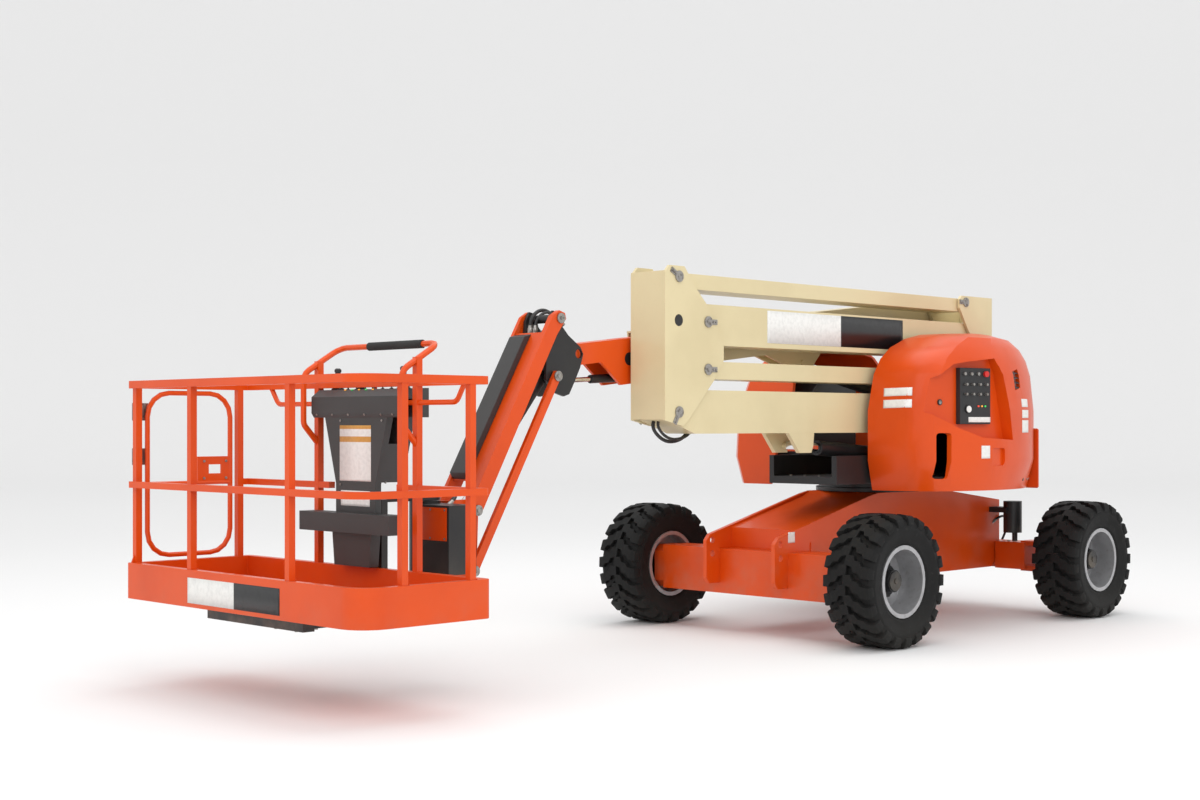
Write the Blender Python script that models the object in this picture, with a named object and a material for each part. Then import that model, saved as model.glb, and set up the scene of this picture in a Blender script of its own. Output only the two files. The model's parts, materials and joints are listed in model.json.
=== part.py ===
"""Articulating boom lift: chassis, swinging turntable, folding tower, telescopic boom, jib and platform.

Metres, +Z up, +X towards the platform, +Y to the machine's left. The outlines below are written
about the swing axis at ground level, and every object is then shifted along X by FRAME_SHIFT, so
that the part's origin is under the middle of its box.
"""
import bpy
import bmesh
from math import acos, asin, atan2, cos, degrees, hypot, pi, radians, sin
from mathutils import Matrix, Vector

# ---- driving dimensions -------------------------------------------------------------------------
FIT = 0.0003                # gap between pieces that touch
RUN = 0.006                 # gap between pieces that move past each other
PIN_PLAY = 0.003            # radial gap round a pin

OVERALL_WIDTH = 2.33
WHEELBASE = 2.43
TYRE_RADIUS = 0.42
TYRE_WIDTH = 0.36
RIM_RADIUS = 0.232
RIM_WALL = 0.012
DISC_OFFSET = -0.03         # wheel disc from the tyre's middle, towards the machine
HUB_RADIUS = 0.10

CHASSIS_WIDTH = 0.62
CHASSIS_PLATE = 0.03
CHASSIS_BOTTOM = 0.34
CHASSIS_TOP = 0.925
AXLE_DEPTH = 0.24           # drive axle beam, along X
AXLE_LOW = 0.26
AXLE_HIGH = 0.56
STEER_DEPTH = 0.20
STEER_LOW = 0.32
STEER_HIGH = 0.52
KINGPIN_Y = 0.70
SWIVEL_RADIUS = 0.035       # pin the steering axle rocks on
STEER_ARM = 0.17

BEARING_RADIUS = 0.40
DECK_LOW = 1.0
DECK_THICK = 0.05
TAIL_RADIUS = 1.165
WEIGHT_LOW = 0.95
WEIGHT_HIGH = 1.37
WEIGHT_FRONT = -0.60
HOOD_RADIUS = 1.13
HOOD_LOW = 0.957
HOOD_TOP = 2.02
HOOD_WALL = 0.03
HOOD_INNER_Y = 0.495
LEFT_HOOD_FRONT = 0.72
RIGHT_HOOD_FRONT = 0.30

TOWER_INNER = 0.177         # the tower's side planes
TOWER_OUTER = 0.46
TOWER_PLATE = 0.02
ARM_LENGTH = 3.05
PIN_REAR_X = -0.505         # lower arm and upper link pins, at the machine's middle
PIN_SETBACK = 0.26          # how far behind them the lower link and upper arm pins are
LOWER_ARM_Z = 1.473
LOWER_LINK_Z = 1.732
UPPER_ARM_Z = 2.020
UPPER_LINK_Z = 2.280
PIN_RADIUS = 0.028
UPRIGHT_FACE = 0.12         # front of the mid upright, ahead of its outer pins

BOOM_Y = 0.06               # middle plane of the boom, jib and platform
BOOM_PIVOT = (-0.62, 2.205)
BOOM_REST = -6.5            # degrees, front end low when stowed
BASE_LENGTH = 3.10
NOSE_START = 3.24           # where the fly's nose cheeks begin, from the boom's pivot
BASE_HALF_WIDTH = 0.105
BASE_HALF_HEIGHT = 0.1225
BASE_WALL = 0.012
FLY_HALF_WIDTH = 0.085
FLY_HALF_HEIGHT = 0.088
NOSE_PIN = (3.73, 0.029)    # along the boom and above its centreline, from the boom's pivot
LEVEL_BASE = (3.268, -0.150)

JIB_PIN = (3.277, 2.010)
JIB_LENGTH = 1.25
JIB_REST = -60.0
JIB_PIN_DROP = 0.333        # link pin below the arm pin
JIB_PLATE = 0.025
JIB_HALF_WIDTH = 0.14
JIB_NEAR_EXTRA = 0.012      # the left plate is this much thicker, outwards

ROTATOR_X = 4.15
PLATFORM_FRONT = 5.36
PLATFORM_DEPTH = 0.78
PLATFORM_WIDTH = 2.10
PLATFORM_LOW = 0.465
TOE_HIGH = 0.656
RAIL_HIGH = 1.633
MID_RAIL_Z = 1.076
RAIL_SIZE = 0.038
CORNER_RADIUS = 0.15        # front left corner; the others are nearly square
SQUARE_CORNER = 0.03
HOOP_Y = (-0.28, 0.57)      # rear posts of the platform and the legs of the hoop

ORANGE = (0.80, 0.16, 0.018)
CREAM = (0.74, 0.64, 0.42)
BLACK = (0.02, 0.02, 0.022)
GREY = (0.07, 0.07, 0.075)
STEEL = (0.55, 0.55, 0.56)
RUBBER = (0.025, 0.025, 0.027)

REAR_EDGE = -(WHEELBASE / 2 + TYRE_RADIUS)
FRAME_SHIFT = -(PLATFORM_FRONT + REAR_EDGE) / 2
WHEEL_Y = (OVERALL_WIDTH - TYRE_WIDTH) / 2
HALF_CHASSIS = CHASSIS_WIDTH / 2
AXLE_X = WHEELBASE / 2
PIN_FRONT_X = PIN_REAR_X + ARM_LENGTH
ARM_OUTER = TOWER_OUTER - TOWER_PLATE - RUN
ARM_INNER = TOWER_INNER + TOWER_PLATE + RUN
TOWER_Y = (TOWER_INNER + TOWER_OUTER) / 2


# ---- making shapes ------------------------------------------------------------------------------
def clear_scene():
    for thing in list(bpy.data.objects):
        bpy.data.objects.remove(thing, do_unlink=True)


def paint(name, colour, roughness, metallic=0.0):
    material = bpy.data.materials.new(name)
    material.use_nodes = True
    shader = material.node_tree.nodes["Principled BSDF"]
    shader.inputs["Base Color"].default_value = (*colour, 1.0)
    shader.inputs["Roughness"].default_value = roughness
    shader.inputs["Metallic"].default_value = metallic
    return material


def raw(mesh_builder):
    """An object made from a bmesh, linked to the scene so that modifiers can read it."""
    bmesh.ops.recalc_face_normals(mesh_builder, faces=mesh_builder.faces)
    mesh = bpy.data.meshes.new("raw")
    mesh_builder.to_mesh(mesh)
    mesh_builder.free()
    thing = bpy.data.objects.new("raw", mesh)
    bpy.context.collection.objects.link(thing)
    return thing


def prism(outline, low, high, along="Y"):
    """A flat outline extruded: (x, z) along Y, (x, y) along Z, or (y, z) along X."""
    places = {"Y": lambda a, b, c: (a, c, b), "Z": lambda a, b, c: (a, b, c), "X": lambda a, b, c: (c, a, b)}
    builder = bmesh.new()
    face = builder.faces.new([builder.verts.new(places[along](a, b, low)) for a, b in outline])
    grown = bmesh.ops.extrude_face_region(builder, geom=[face])["geom"]
    shift = Vector(places[along](0, 0, high - low))
    bmesh.ops.translate(builder, vec=shift, verts=[v for v in grown if isinstance(v, bmesh.types.BMVert)])
    return raw(builder)


def box(x, y, z):
    return prism([(x[0], z[0]), (x[1], z[0]), (x[1], z[1]), (x[0], z[1])], y[0], y[1])


def rod(start, end, radius, segments=16):
    """A round bar between two points."""
    start, end = Vector(start), Vector(end)
    builder = bmesh.new()
    bmesh.ops.create_cone(builder, cap_ends=True, segments=segments, radius1=radius, radius2=radius,
                          depth=(end - start).length)
    turn = Vector((0, 0, 1)).rotation_difference(end - start).to_matrix().to_4x4()
    bmesh.ops.transform(builder, matrix=Matrix.Translation((start + end) / 2) @ turn, verts=builder.verts)
    return raw(builder)


def turned(profile, segments, centre=(0, 0, 0), about="Y"):
    """A closed profile of (radius, along) points turned about an axis."""
    builder = bmesh.new()
    rings = []
    for step in range(segments):
        angle = 2 * pi * step / segments
        ring = []
        for radius, along in profile:
            if about == "Y":
                place = (radius * cos(angle), along, radius * sin(angle))
            else:
                place = (radius * cos(angle), radius * sin(angle), along)
            ring.append(builder.verts.new(Vector(place) + Vector(centre)))
        rings.append(ring)
    count = len(profile)
    for step, ring in enumerate(rings):
        following = rings[(step + 1) % segments]
        for index in range(count):
            after = (index + 1) % count
            builder.faces.new((ring[index], ring[after], following[after], following[index]))
    return raw(builder)


def pipe(points, radius, sides=8, closed=False):
    """A round tube along a list of points, with mitred bends and flat ends."""
    points = [Vector(p) for p in points]
    builder = bmesh.new()
    rings = []
    side = None
    total = len(points)
    for index, point in enumerate(points):
        before = points[index - 1] if (index or closed) else None
        after = points[(index + 1) % total] if (index < total - 1 or closed) else None
        into = (point - before).normalized() if before else (after - point).normalized()
        out = (after - point).normalized() if after else into
        tangent = (into + out).normalized()
        if side is None:
            guess = Vector((0, 0, 1)) if abs(into.z) < 0.9 else Vector((0, 1, 0))
            side = into.cross(guess).normalized()
        side = (side - into * side.dot(into)).normalized()
        across = into.cross(side)
        ring = []
        for step in range(sides):
            angle = 2 * pi * (step + 0.5) / sides
            spoke = (side * cos(angle) + across * sin(angle)) * radius
            slide = spoke.dot(tangent) / into.dot(tangent)
            ring.append(builder.verts.new(point + spoke - into * slide))
        rings.append(ring)
        side = (side - out * side.dot(out)).normalized()
    spans = total if closed else total - 1
    for index in range(spans):
        ring, following = rings[index], rings[(index + 1) % total]
        for step in range(sides):
            after = (step + 1) % sides
            builder.faces.new((ring[step], ring[after], following[after], following[step]))
    if not closed:
        builder.faces.new(rings[0])
        builder.faces.new(rings[-1])
    return raw(builder)


def arc(centre, radius, start, end, steps):
    """Points round an arc, angles in degrees."""
    angles = [radians(start + (end - start) * step / steps) for step in range(steps + 1)]
    return [(centre[0] + radius * cos(a), centre[1] + radius * sin(a)) for a in angles]


def rounded(corners, radius, steps=3):
    """An outline or an open route with its inner corners rounded; radius is one value or one a corner."""
    points = [Vector(c) for c in corners]
    result = []
    for index, point in enumerate(points):
        bend = radius[index] if isinstance(radius, (list, tuple)) else radius
        if bend == 0:
            result.append(tuple(point))
            continue
        back = (points[index - 1] - point).normalized()
        ahead = (points[(index + 1) % len(points)] - point).normalized()
        half = back.angle(ahead) / 2
        reach = bend / abs(sin(half) / cos(half)) if half < pi / 2 - 1e-6 else 0.0
        middle = point + (back + ahead).normalized() * (bend / sin(half))
        start, end = point + back * reach - middle, point + ahead * reach - middle
        for step in range(steps + 1):
            share = step / steps
            sweep = start.angle(end)
            mix = (start * sin((1 - share) * sweep) + end * sin(share * sweep)) / sin(sweep)
            result.append(tuple(middle + mix))
    return result


def combine(base, others, operation):
    """Boolean of several solids into the first one, applied at once."""
    for other in others:
        step = base.modifiers.new("step", "BOOLEAN")
        step.operation = operation
        step.object = other
        step.solver = "EXACT"
    bpy.context.view_layer.update()
    result = bpy.data.meshes.new_from_object(base.evaluated_get(bpy.context.evaluated_depsgraph_get()))
    base.modifiers.clear()
    old = base.data
    base.data = result
    bpy.data.meshes.remove(old)
    for other in others:
        bpy.data.objects.remove(other, do_unlink=True)
    return base


def fuse(base, *others):
    return combine(base, others, "UNION")


def cut(base, *others):
    return combine(base, others, "DIFFERENCE")


def node(name, solid, material, pivot=(0, 0, 0), tilt=0.0, parent=None):
    """Name a solid, put its origin on its joint's axis, and shift it into the part's frame.

    tilt, in degrees, turns a piece drawn level about its pivot, positive end up.
    """
    pivot = Vector(pivot)
    solid.data.transform(Matrix.Translation(-pivot))
    builder = bmesh.new()
    builder.from_mesh(solid.data)
    bmesh.ops.remove_doubles(builder, verts=builder.verts, dist=1e-5)
    bmesh.ops.dissolve_limit(builder, angle_limit=radians(0.05), verts=builder.verts, edges=builder.edges)
    builder.to_mesh(solid.data)
    builder.free()
    solid.name = name
    solid.data.name = name
    solid.data.materials.clear()
    solid.data.materials.append(material)
    solid.data.shade_smooth()
    solid.data.set_sharp_from_angle(angle=radians(35))
    solid.location = pivot + Vector((FRAME_SHIFT, 0, 0))
    solid.rotation_euler = (0, radians(-tilt), 0)
    return solid


def across(x, z, low, high, radius, segments=16):
    """A round pin along Y."""
    return rod((x, low, z), (x, high, z), radius, segments)


def stub_pins(x, z, middle, inner, outer, radius):
    """Two short pins that face each other across a rod's eye, one in each lug."""
    return [across(x, z, *sorted((middle + side * inner, middle + side * outer)), radius) for side in (-1, 1)]


# ---- wheels and chassis -------------------------------------------------------------------------
def make_tyre(name, x, side, material):
    half = TYRE_WIDTH / 2
    seat = RIM_RADIUS - 0.018
    profile = [(seat, -half * 0.72), (RIM_RADIUS + 0.02, -half * 0.86), (TYRE_RADIUS * 0.8, -half),
               (TYRE_RADIUS - 0.03, -half * 0.97), (TYRE_RADIUS, -half * 0.78), (TYRE_RADIUS, half * 0.78),
               (TYRE_RADIUS - 0.03, half * 0.97), (TYRE_RADIUS * 0.8, half), (RIM_RADIUS + 0.02, half * 0.86),
               (seat, half * 0.72)]
    centre = (x, side * WHEEL_Y, TYRE_RADIUS)
    return node(name, turned(profile, 32, centre), material, centre)


def make_rim(name, x, side, material):
    """Rim, disc and hub cap in one piece; the disc is nearer the machine."""
    half = TYRE_WIDTH / 2
    barrel = RIM_RADIUS - 0.018 - FIT
    lip = half * 0.72
    inner = barrel - RIM_WALL
    disc = DISC_OFFSET
    flange = RIM_RADIUS - 0.004
    profile = [(barrel, -lip), (flange, -lip - 0.0105), (flange, -lip - 0.021),
               (inner, -lip - 0.021), (inner, disc - 0.008), (0.05, disc - 0.008), (0.05, disc + 0.11),
               (HUB_RADIUS * 0.7, disc + 0.11), (HUB_RADIUS * 0.75, disc + 0.06), (HUB_RADIUS, disc + 0.05),
               (HUB_RADIUS, disc + 0.008), (inner, disc + 0.008), (inner, lip + 0.021),
               (flange, lip + 0.021), (flange, lip + 0.0105), (barrel, lip)]
    profile = [(radius, side * along) for radius, along in profile]
    centre = (x, side * WHEEL_Y, TYRE_RADIUS)
    return node(name, turned(profile, 32, centre), material, centre)


def make_chassis(orange):
    """Welded box with a crowned top, and side plates that reach past the drive axle as tie-down lugs."""
    rear = -1.02
    crown = 0.45
    body = prism([(rear, CHASSIS_BOTTOM), (AXLE_X, CHASSIS_BOTTOM), (AXLE_X, 0.70), (crown, 0.885),
                  (crown - 0.10, CHASSIS_TOP), (-crown, CHASSIS_TOP), (rear, 0.84)],
                 -HALF_CHASSIS + CHASSIS_PLATE - 0.002, HALF_CHASSIS - CHASSIS_PLATE + 0.002)
    lug_front = AXLE_X + 0.255
    tail = -1.19
    side = [(tail, 0.42), (tail + 0.11, CHASSIS_BOTTOM - 0.01), (lug_front - 0.03, CHASSIS_BOTTOM - 0.01),
            (lug_front, CHASSIS_BOTTOM + 0.03), (lug_front, 0.62), (lug_front - 0.04, 0.662),
            (crown, 0.905), (crown - 0.10, CHASSIS_TOP - 0.001), (-crown, CHASSIS_TOP - 0.001),
            (tail, 0.83)]
    pieces = []
    for sign in (-1, 1):
        edges = sorted((sign * HALF_CHASSIS, sign * (HALF_CHASSIS - CHASSIS_PLATE)))
        pieces.append(prism(side, *edges))
    yoke = -AXLE_X - STEER_DEPTH / 2
    pieces.append(box((yoke - 0.027, rear + 0.05), (-0.16, 0.16), (STEER_HIGH + 0.04, 0.82)))
    pieces.append(box((yoke - 0.026, yoke - FIT), (-0.12, 0.12), (STEER_LOW, STEER_HIGH + 0.1)))
    body = fuse(body, *pieces)
    half = AXLE_DEPTH / 2 + FIT
    notch = box((AXLE_X - half, AXLE_X + half), (-0.5, 0.5), (AXLE_LOW - 0.1, AXLE_HIGH + FIT))
    holes = [across(lug_front - 0.06, z, -0.5, 0.5, 0.022, 12) for z in (0.53, 0.62)]
    holes.append(rod((yoke - 0.1, 0, TYRE_RADIUS), (rear + 0.1, 0, TYRE_RADIUS), SWIVEL_RADIUS + FIT, 16))
    return node("chassis_frame", cut(body, notch, *holes), orange)


def make_drive_axle(orange):
    """Square beam straight between the drive wheels; its ends are bevelled where they enter the rims."""
    reach = WHEEL_Y + DISC_OFFSET - 0.05
    half = AXLE_DEPTH / 2
    beam = box((AXLE_X - half, AXLE_X + half), (-reach + 0.10, reach - 0.10), (AXLE_LOW, AXLE_HIGH))
    bevel = 0.05
    outline = [(AXLE_X - half + 0.002, AXLE_LOW + bevel), (AXLE_X - half + bevel, AXLE_LOW + 0.002),
               (AXLE_X + half - bevel, AXLE_LOW + 0.002), (AXLE_X + half - 0.002, AXLE_LOW + bevel),
               (AXLE_X + half - 0.002, AXLE_HIGH - bevel), (AXLE_X + half - bevel, AXLE_HIGH - 0.002),
               (AXLE_X - half + bevel, AXLE_HIGH - 0.002), (AXLE_X - half + 0.002, AXLE_HIGH - bevel)]
    ends = prism(outline, -reach + 0.015, reach - 0.015)
    stub = across(AXLE_X, TYRE_RADIUS, -reach - 0.07, reach + 0.07, 0.045)
    return node("drive_axle", fuse(beam, ends, stub), orange)


def make_steer_axle(orange):
    """Oscillating beam with a forked end at each kingpin, and the bracket of the steering cylinder."""
    x = -AXLE_X
    half = STEER_DEPTH / 2
    end = KINGPIN_Y - 0.13
    setback = HALF_CHASSIS + 0.01
    beam = box((x - half, x + half), (-end, end), (STEER_LOW, STEER_HIGH))
    beam = cut(beam, box((x + 0.02, x + half + 1), (-setback, setback), (0, 1)))
    pieces = []
    for sign in (-1, 1):
        span = sorted((sign * (end - 0.05), sign * (KINGPIN_Y + 0.05)))
        for low, high in ((STEER_LOW - 0.012, STEER_LOW + 0.025), (STEER_HIGH - 0.025, STEER_HIGH + 0.012)):
            pieces.append(box((x - 0.07, x + 0.07), span, (low, high)))
    pieces.append(rod((x - half - 0.035, 0, TYRE_RADIUS), (x + half + 0.08, 0, TYRE_RADIUS), SWIVEL_RADIUS, 16))
    return node("steer_axle", fuse(beam, *pieces), orange)


def make_knuckle(name, side, orange):
    """Kingpin block with its stub axle and its steering arm, which points to the rear."""
    x = -AXLE_X
    y = side * KINGPIN_Y
    low, high = STEER_LOW + 0.025 + 0.004, STEER_HIGH - 0.025 - 0.004
    post = rod((x, y, low), (x, y, high), 0.055, 20)
    stub = across(x, TYRE_RADIUS, *sorted((y, side * (WHEEL_Y + DISC_OFFSET + 0.02))), 0.045)
    drum = across(x, TYRE_RADIUS, *sorted((y + side * 0.04, side * (WHEEL_Y + DISC_OFFSET - 0.02))), 0.068, 20)
    arm = box((x - STEER_ARM - 0.03, x), sorted((y - side * 0.025, y + side * 0.025)), (0.36, 0.40))
    return node(name, fuse(post, stub, drum, arm), orange, (x, y, TYRE_RADIUS))


def make_steering_cylinder(black, steel):
    """Double-ended ram behind the steering axle; its rod slides along Y."""
    x = -AXLE_X - STEER_ARM - 0.02
    z = 0.44
    barrel = turned([(0.022, -0.20), (0.04, -0.20), (0.04, 0.20), (0.022, 0.20)], 16, (x, 0, z))
    feet = [box((x, -AXLE_X - STEER_DEPTH / 2 - FIT), (y - 0.02, y + 0.02), (z - 0.03, z + 0.03))
            for y in (-0.165, 0.165)]
    bore = across(x, z, -0.3, 0.3, 0.0225)
    cylinder = cut(fuse(barrel, *feet), bore)
    node("steering_cylinder", cylinder, black)
    ram = across(x, z, -KINGPIN_Y + 0.09, KINGPIN_Y - 0.09, 0.018)
    eyes = [across(x, z, y - 0.025, y + 0.025, 0.028) for y in (-KINGPIN_Y + 0.09, KINGPIN_Y - 0.09)]
    node("steering_rod", fuse(ram, *eyes), steel)


def make_lockout(name, side, black):
    """Lockout cylinder standing on the steering axle, held by a bracket on the chassis side."""
    x, y = -AXLE_X + 0.075, side * (HALF_CHASSIS + 0.146)
    body = rod((x, y, 0.59), (x, y, 0.825), 0.068, 20)
    plunger = rod((x - 0.03, y, STEER_HIGH + 0.0045), (x - 0.03, y, 0.60), 0.02, 12)
    inner = side * (HALF_CHASSIS + FIT)
    shelf = box((x - 0.04, x + 0.09), sorted((inner, y)), (0.74, 0.78))
    return node(name, fuse(body, plunger, shelf), black)


def make_bearing(black):
    low, high = CHASSIS_TOP + FIT, DECK_LOW - 0.003
    profile = [(0.30, low), (BEARING_RADIUS, low), (BEARING_RADIUS, low + 0.03), (BEARING_RADIUS - 0.02, low + 0.03),
               (BEARING_RADIUS - 0.02, high), (0.30, high)]
    return node("swing_bearing", turned(profile, 32, about="Z"), black)


# ---- turntable ----------------------------------------------------------------------------------
def make_turntable(black):
    """Deck, forward tray and the plates that carry the tower's two lower pins."""
    top = DECK_LOW + DECK_THICK
    right = RIGHT_HOOD_FRONT - HOOD_WALL - 0.07
    left = LEFT_HOOD_FRONT - HOOD_WALL - 0.07
    deck = prism([(-0.845, -0.54), (-0.585, -0.68), (-0.585, -0.86), (right, -0.86), (right, -0.10), (1.03, -0.10),
                  (1.03, 0.47), (left, 0.47), (left, 0.66), (0.45, 0.90), (-0.585, 0.86), (-0.585, 0.68),
                  (-0.845, 0.54)], DECK_LOW, top, "Z")
    pieces = []
    for y in ((-0.10, -0.06), (0.43, 0.47)):
        pieces.append(box((0.20, 1.03), y, (DECK_LOW + 0.01, 1.19)))
    plate = [(-0.33, top - 0.01), (-0.36, 1.50), (-0.42, 1.56), (-0.66, 1.81), (-0.84, 1.81), (-0.84, top - 0.01)]
    for low in (TOWER_INNER, TOWER_OUTER - TOWER_PLATE):
        pieces.append(prism(plate, low, low + TOWER_PLATE))
    pieces.append(box((-0.84, -0.82), (TOWER_INNER + 0.001, TOWER_OUTER - 0.001), (top - 0.01, LOWER_LINK_Z - 0.09)))
    for x, z in ((PIN_REAR_X, LOWER_ARM_Z), (PIN_REAR_X - PIN_SETBACK, LOWER_LINK_Z)):
        pieces.append(across(x, z, TOWER_INNER + 0.005, TOWER_OUTER - 0.005, PIN_RADIUS))
    ram_x, ram_z = TOWER_RAM_BASE
    ears = [(ram_x - 0.10, top - 0.01), (ram_x + 0.10, top - 0.01), (ram_x + 0.045, ram_z + 0.04),
            (ram_x - 0.045, ram_z + 0.04)]
    for low in (TOWER_Y - 0.075, TOWER_Y + 0.055):
        pieces.append(prism(ears, low, low + 0.02))
    pieces.append(across(ram_x, ram_z, TOWER_Y - 0.07, TOWER_Y + 0.07, 0.02))
    return node("turntable_frame", fuse(deck, *pieces), black)


def make_counterweight(orange):
    """Cast tail that follows the swing circle."""
    reach = degrees(acos(-WEIGHT_FRONT / TAIL_RADIUS))
    outline = arc((0, 0), TAIL_RADIUS, 180 - reach, 180 + reach, 20)
    outline += [(WEIGHT_FRONT, -0.80), (WEIGHT_FRONT, -0.70), (-0.86, -0.56), (-0.86, 0.57), (WEIGHT_FRONT, 0.70),
                (WEIGHT_FRONT, 0.80)]
    cast = prism(outline, WEIGHT_LOW, WEIGHT_HIGH, "Z")
    return node("counterweight", cast, orange)


def hood_section(draw_in, front_in, front, corner, z):
    """One level outline of a hood, as points in a fixed order, drawn in from its full size."""
    radius = HOOD_RADIUS - draw_in
    nose = front - front_in
    turn = atan2((radius ** 2 - (nose - 0.10) ** 2) ** 0.5, nose - 0.10)
    lowest = HOOD_INNER_Y + 0.02
    back = min(acos(max((HOOD_REAR + draw_in * 0.5) / radius, -1)), pi - asin(lowest / radius))
    points = [(radius * cos(back), HOOD_INNER_Y), (nose, HOOD_INNER_Y), (nose, max(radius * sin(turn) - corner, lowest))]
    for step in range(15):
        angle = turn + (back - turn) * step / 14
        points.append((radius * cos(angle), radius * sin(angle)))
    return [(x, y, z) for x, y in points]


def hood_solid(levels, front, corner, wall=0.0):
    """A hood lofted through (z, outer draw-in, front draw-in) levels, or the space inside its wall."""
    builder = bmesh.new()
    rings = []
    for index, (z, draw_in, front_in) in enumerate(levels):
        if wall:
            z = z - 0.2 if index == 0 else (z - wall if index == len(levels) - 1 else z)
        rings.append([builder.verts.new(p) for p in hood_section(draw_in + wall, front_in + wall, front, corner, z)])
    for ring, following in zip(rings, rings[1:]):
        for index in range(len(ring)):
            after = (index + 1) % len(ring)
            builder.faces.new((ring[index], ring[after], following[after], following[index]))
    builder.faces.new(rings[0])
    builder.faces.new(rings[-1])
    if wall:
        for vert in builder.verts:
            if abs(vert.co.y - HOOD_INNER_Y) < 1e-6:
                vert.co.y -= 0.2
    return raw(builder)


def mirrored(solid):
    solid.data.transform(Matrix.Scale(-1, 4, Vector((0, 1, 0))))
    solid.data.flip_normals()
    return solid


def make_left_hood(orange):
    """Ground-control side: the hood with the sunk control bay, a grip slot, a latch pocket and a vent."""
    outer = hood_solid(LEFT_LEVELS, LEFT_HOOD_FRONT, 0.16)
    inner = hood_solid(LEFT_LEVELS, LEFT_HOOD_FRONT, 0.16, HOOD_WALL)
    inner = cut(inner, bay_solid(1.12, HOOD_WALL))
    openings = [prism(rounded([(0.505, 1.04), (0.60, 1.04), (0.60, 1.342), (0.505, 1.342)], 0.02, 3), 0.90, 2.0),
                prism(rounded([(0.046, 1.123), (0.181, 1.123), (0.181, 1.241), (0.046, 1.241)], 0.02, 3), 1.108, 2.0),
                prism([(-0.196, 1.65), (-0.110, 1.63), (-0.097, 1.756), (-0.183, 1.776)], 1.0, 2.0)]
    tail = box((-2, WEIGHT_FRONT + 0.012), (0, 2), (0, WEIGHT_HIGH + 0.008))
    hood = cut(outer, inner, bay_solid(1.0, 0.0), tail, *openings)
    return node("hood_left", hood, orange, HOOD_HINGE_LEFT)


def make_right_hood(orange):
    outer = hood_solid(RIGHT_LEVELS, RIGHT_HOOD_FRONT, 0.10)
    inner = hood_solid(RIGHT_LEVELS, RIGHT_HOOD_FRONT, 0.10, HOOD_WALL)
    tail = box((-2, WEIGHT_FRONT + 0.012), (0, 2), (0, WEIGHT_HIGH + 0.008))
    slope = prism([(0.1, 0.5), (0.71, 0.5), (0.71, 0.94), (0.66, 1.156), (0.51, 1.45), (0.1, 1.45)], -2, 2, "X")
    hood = cut(outer, inner, tail, slope)
    return node("hood_right", mirrored(hood), orange, HOOD_HINGE_RIGHT)


HOOD_REAR = -0.97
LEFT_LEVELS = ((HOOD_LOW, 0.05, 0.05), (1.156, 0.0, 0.0), (1.49, 0.0, 0.0), (1.735, 0.023, 0.066),
               (1.84, 0.055, 0.14), (1.92, 0.10, 0.25), (1.985, 0.17, 0.42), (HOOD_TOP, 0.29, 0.60))
RIGHT_LEVELS = ((HOOD_LOW, 0.05, 0.02), (1.156, 0.0, 0.0), (1.333, 0.010, 0.0), (1.55, 0.045, 0.0),
                (1.714, 0.105, 0.02), (1.83, 0.17, 0.06), (1.91, 0.25, 0.12), (HOOD_TOP - 0.06, 0.34, 0.25))
BAY = [(0.697, 1.584), (0.636, 1.674), (0.446, 1.797), (0.342, 1.814), (0.086, 1.842), (0.032, 1.730),
       (-0.055, 1.293), (0.265, 1.310), (0.446, 1.371), (0.649, 1.477)]
BAY_TIP = (0.70, 0.88)      # x and y of the bay's floor where it meets the hood, and at its deep end
BAY_DEEP = (0.03, 1.03)
TOWER_RAM_BASE = (-0.10, 1.16)
TOWER_RAM_EYE = (1.277, 1.259)
HOOD_HINGE_LEFT = (0, HOOD_INNER_Y, HOOD_TOP - 0.03)
HOOD_HINGE_RIGHT = (0, -HOOD_INNER_Y, HOOD_TOP - 0.09)


def bay_floor(x, raised=0.0):
    share = (BAY_TIP[0] - x) / (BAY_TIP[0] - BAY_DEEP[0])
    return BAY_TIP[1] + (BAY_DEEP[1] - BAY_TIP[1]) * share + raised


def bay_solid(factor, wall):
    """The control bay's space, down to its slanted floor; grown, it is the room its walls need."""
    middle_x = sum(x for x, z in BAY) / len(BAY)
    middle_z = sum(z for x, z in BAY) / len(BAY)
    outline = [(middle_x + (x - middle_x) * factor, middle_z + (z - middle_z) * factor) for x, z in BAY]
    plan = [(-0.6, bay_floor(-0.6, -wall)), (1.2, bay_floor(1.2, -wall)), (1.2, 2), (-0.6, 2)]
    return combine(prism(outline, 0.5, 2.0), [prism(plan, 1, 2, "Z")], "INTERSECT")


def make_control_panel(black):
    """Plate of the ground controls, lying on the slanted floor of the bay."""
    rear, front = 0.10, 0.37
    plan = [(rear, bay_floor(rear, 0.0005)), (front, bay_floor(front, 0.0005)), (front, bay_floor(front, 0.035)),
            (rear, bay_floor(rear, 0.035))]
    return node("control_panel", prism(plan, 1.40, 1.775, "Z"), black, HOOD_HINGE_LEFT)


def make_engine(black):
    low = DECK_LOW + DECK_THICK + FIT
    plan = [(0.19, -0.51), (0.19, -0.85), (-0.25, -0.87), (-0.50, -0.78), (-0.50, -0.51)]
    side = [(-0.6, 0.9), (0.3, 0.9), (0.3, 1.40), (0.19, 1.50), (-0.05, 1.72), (-0.6, 1.72)]
    block = combine(prism(plan, low, 2, "Z"), [prism(side, -2, 0)], "INTERSECT")
    return node("engine", block, black)


# ---- tower --------------------------------------------------------------------------------------
def tower_bar(top, bottom, nose, z, pins, chamfer=0.0):
    """A straight box arm between two pins, drawn with its rear pin at pins[0]."""
    rear, front = pins
    outline = [(rear - nose, z + bottom * 0.4), (rear - nose * 0.5, z + bottom), (front - chamfer, z + bottom),
               (front + nose * 0.8, z + bottom * 0.38), (front + nose, z + top * 0.3), (front + nose * 0.6, z + top),
               (rear - nose * 0.6, z + top), (rear - nose, z + top * 0.4)]
    return prism(outline, ARM_INNER, ARM_OUTER)


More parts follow.
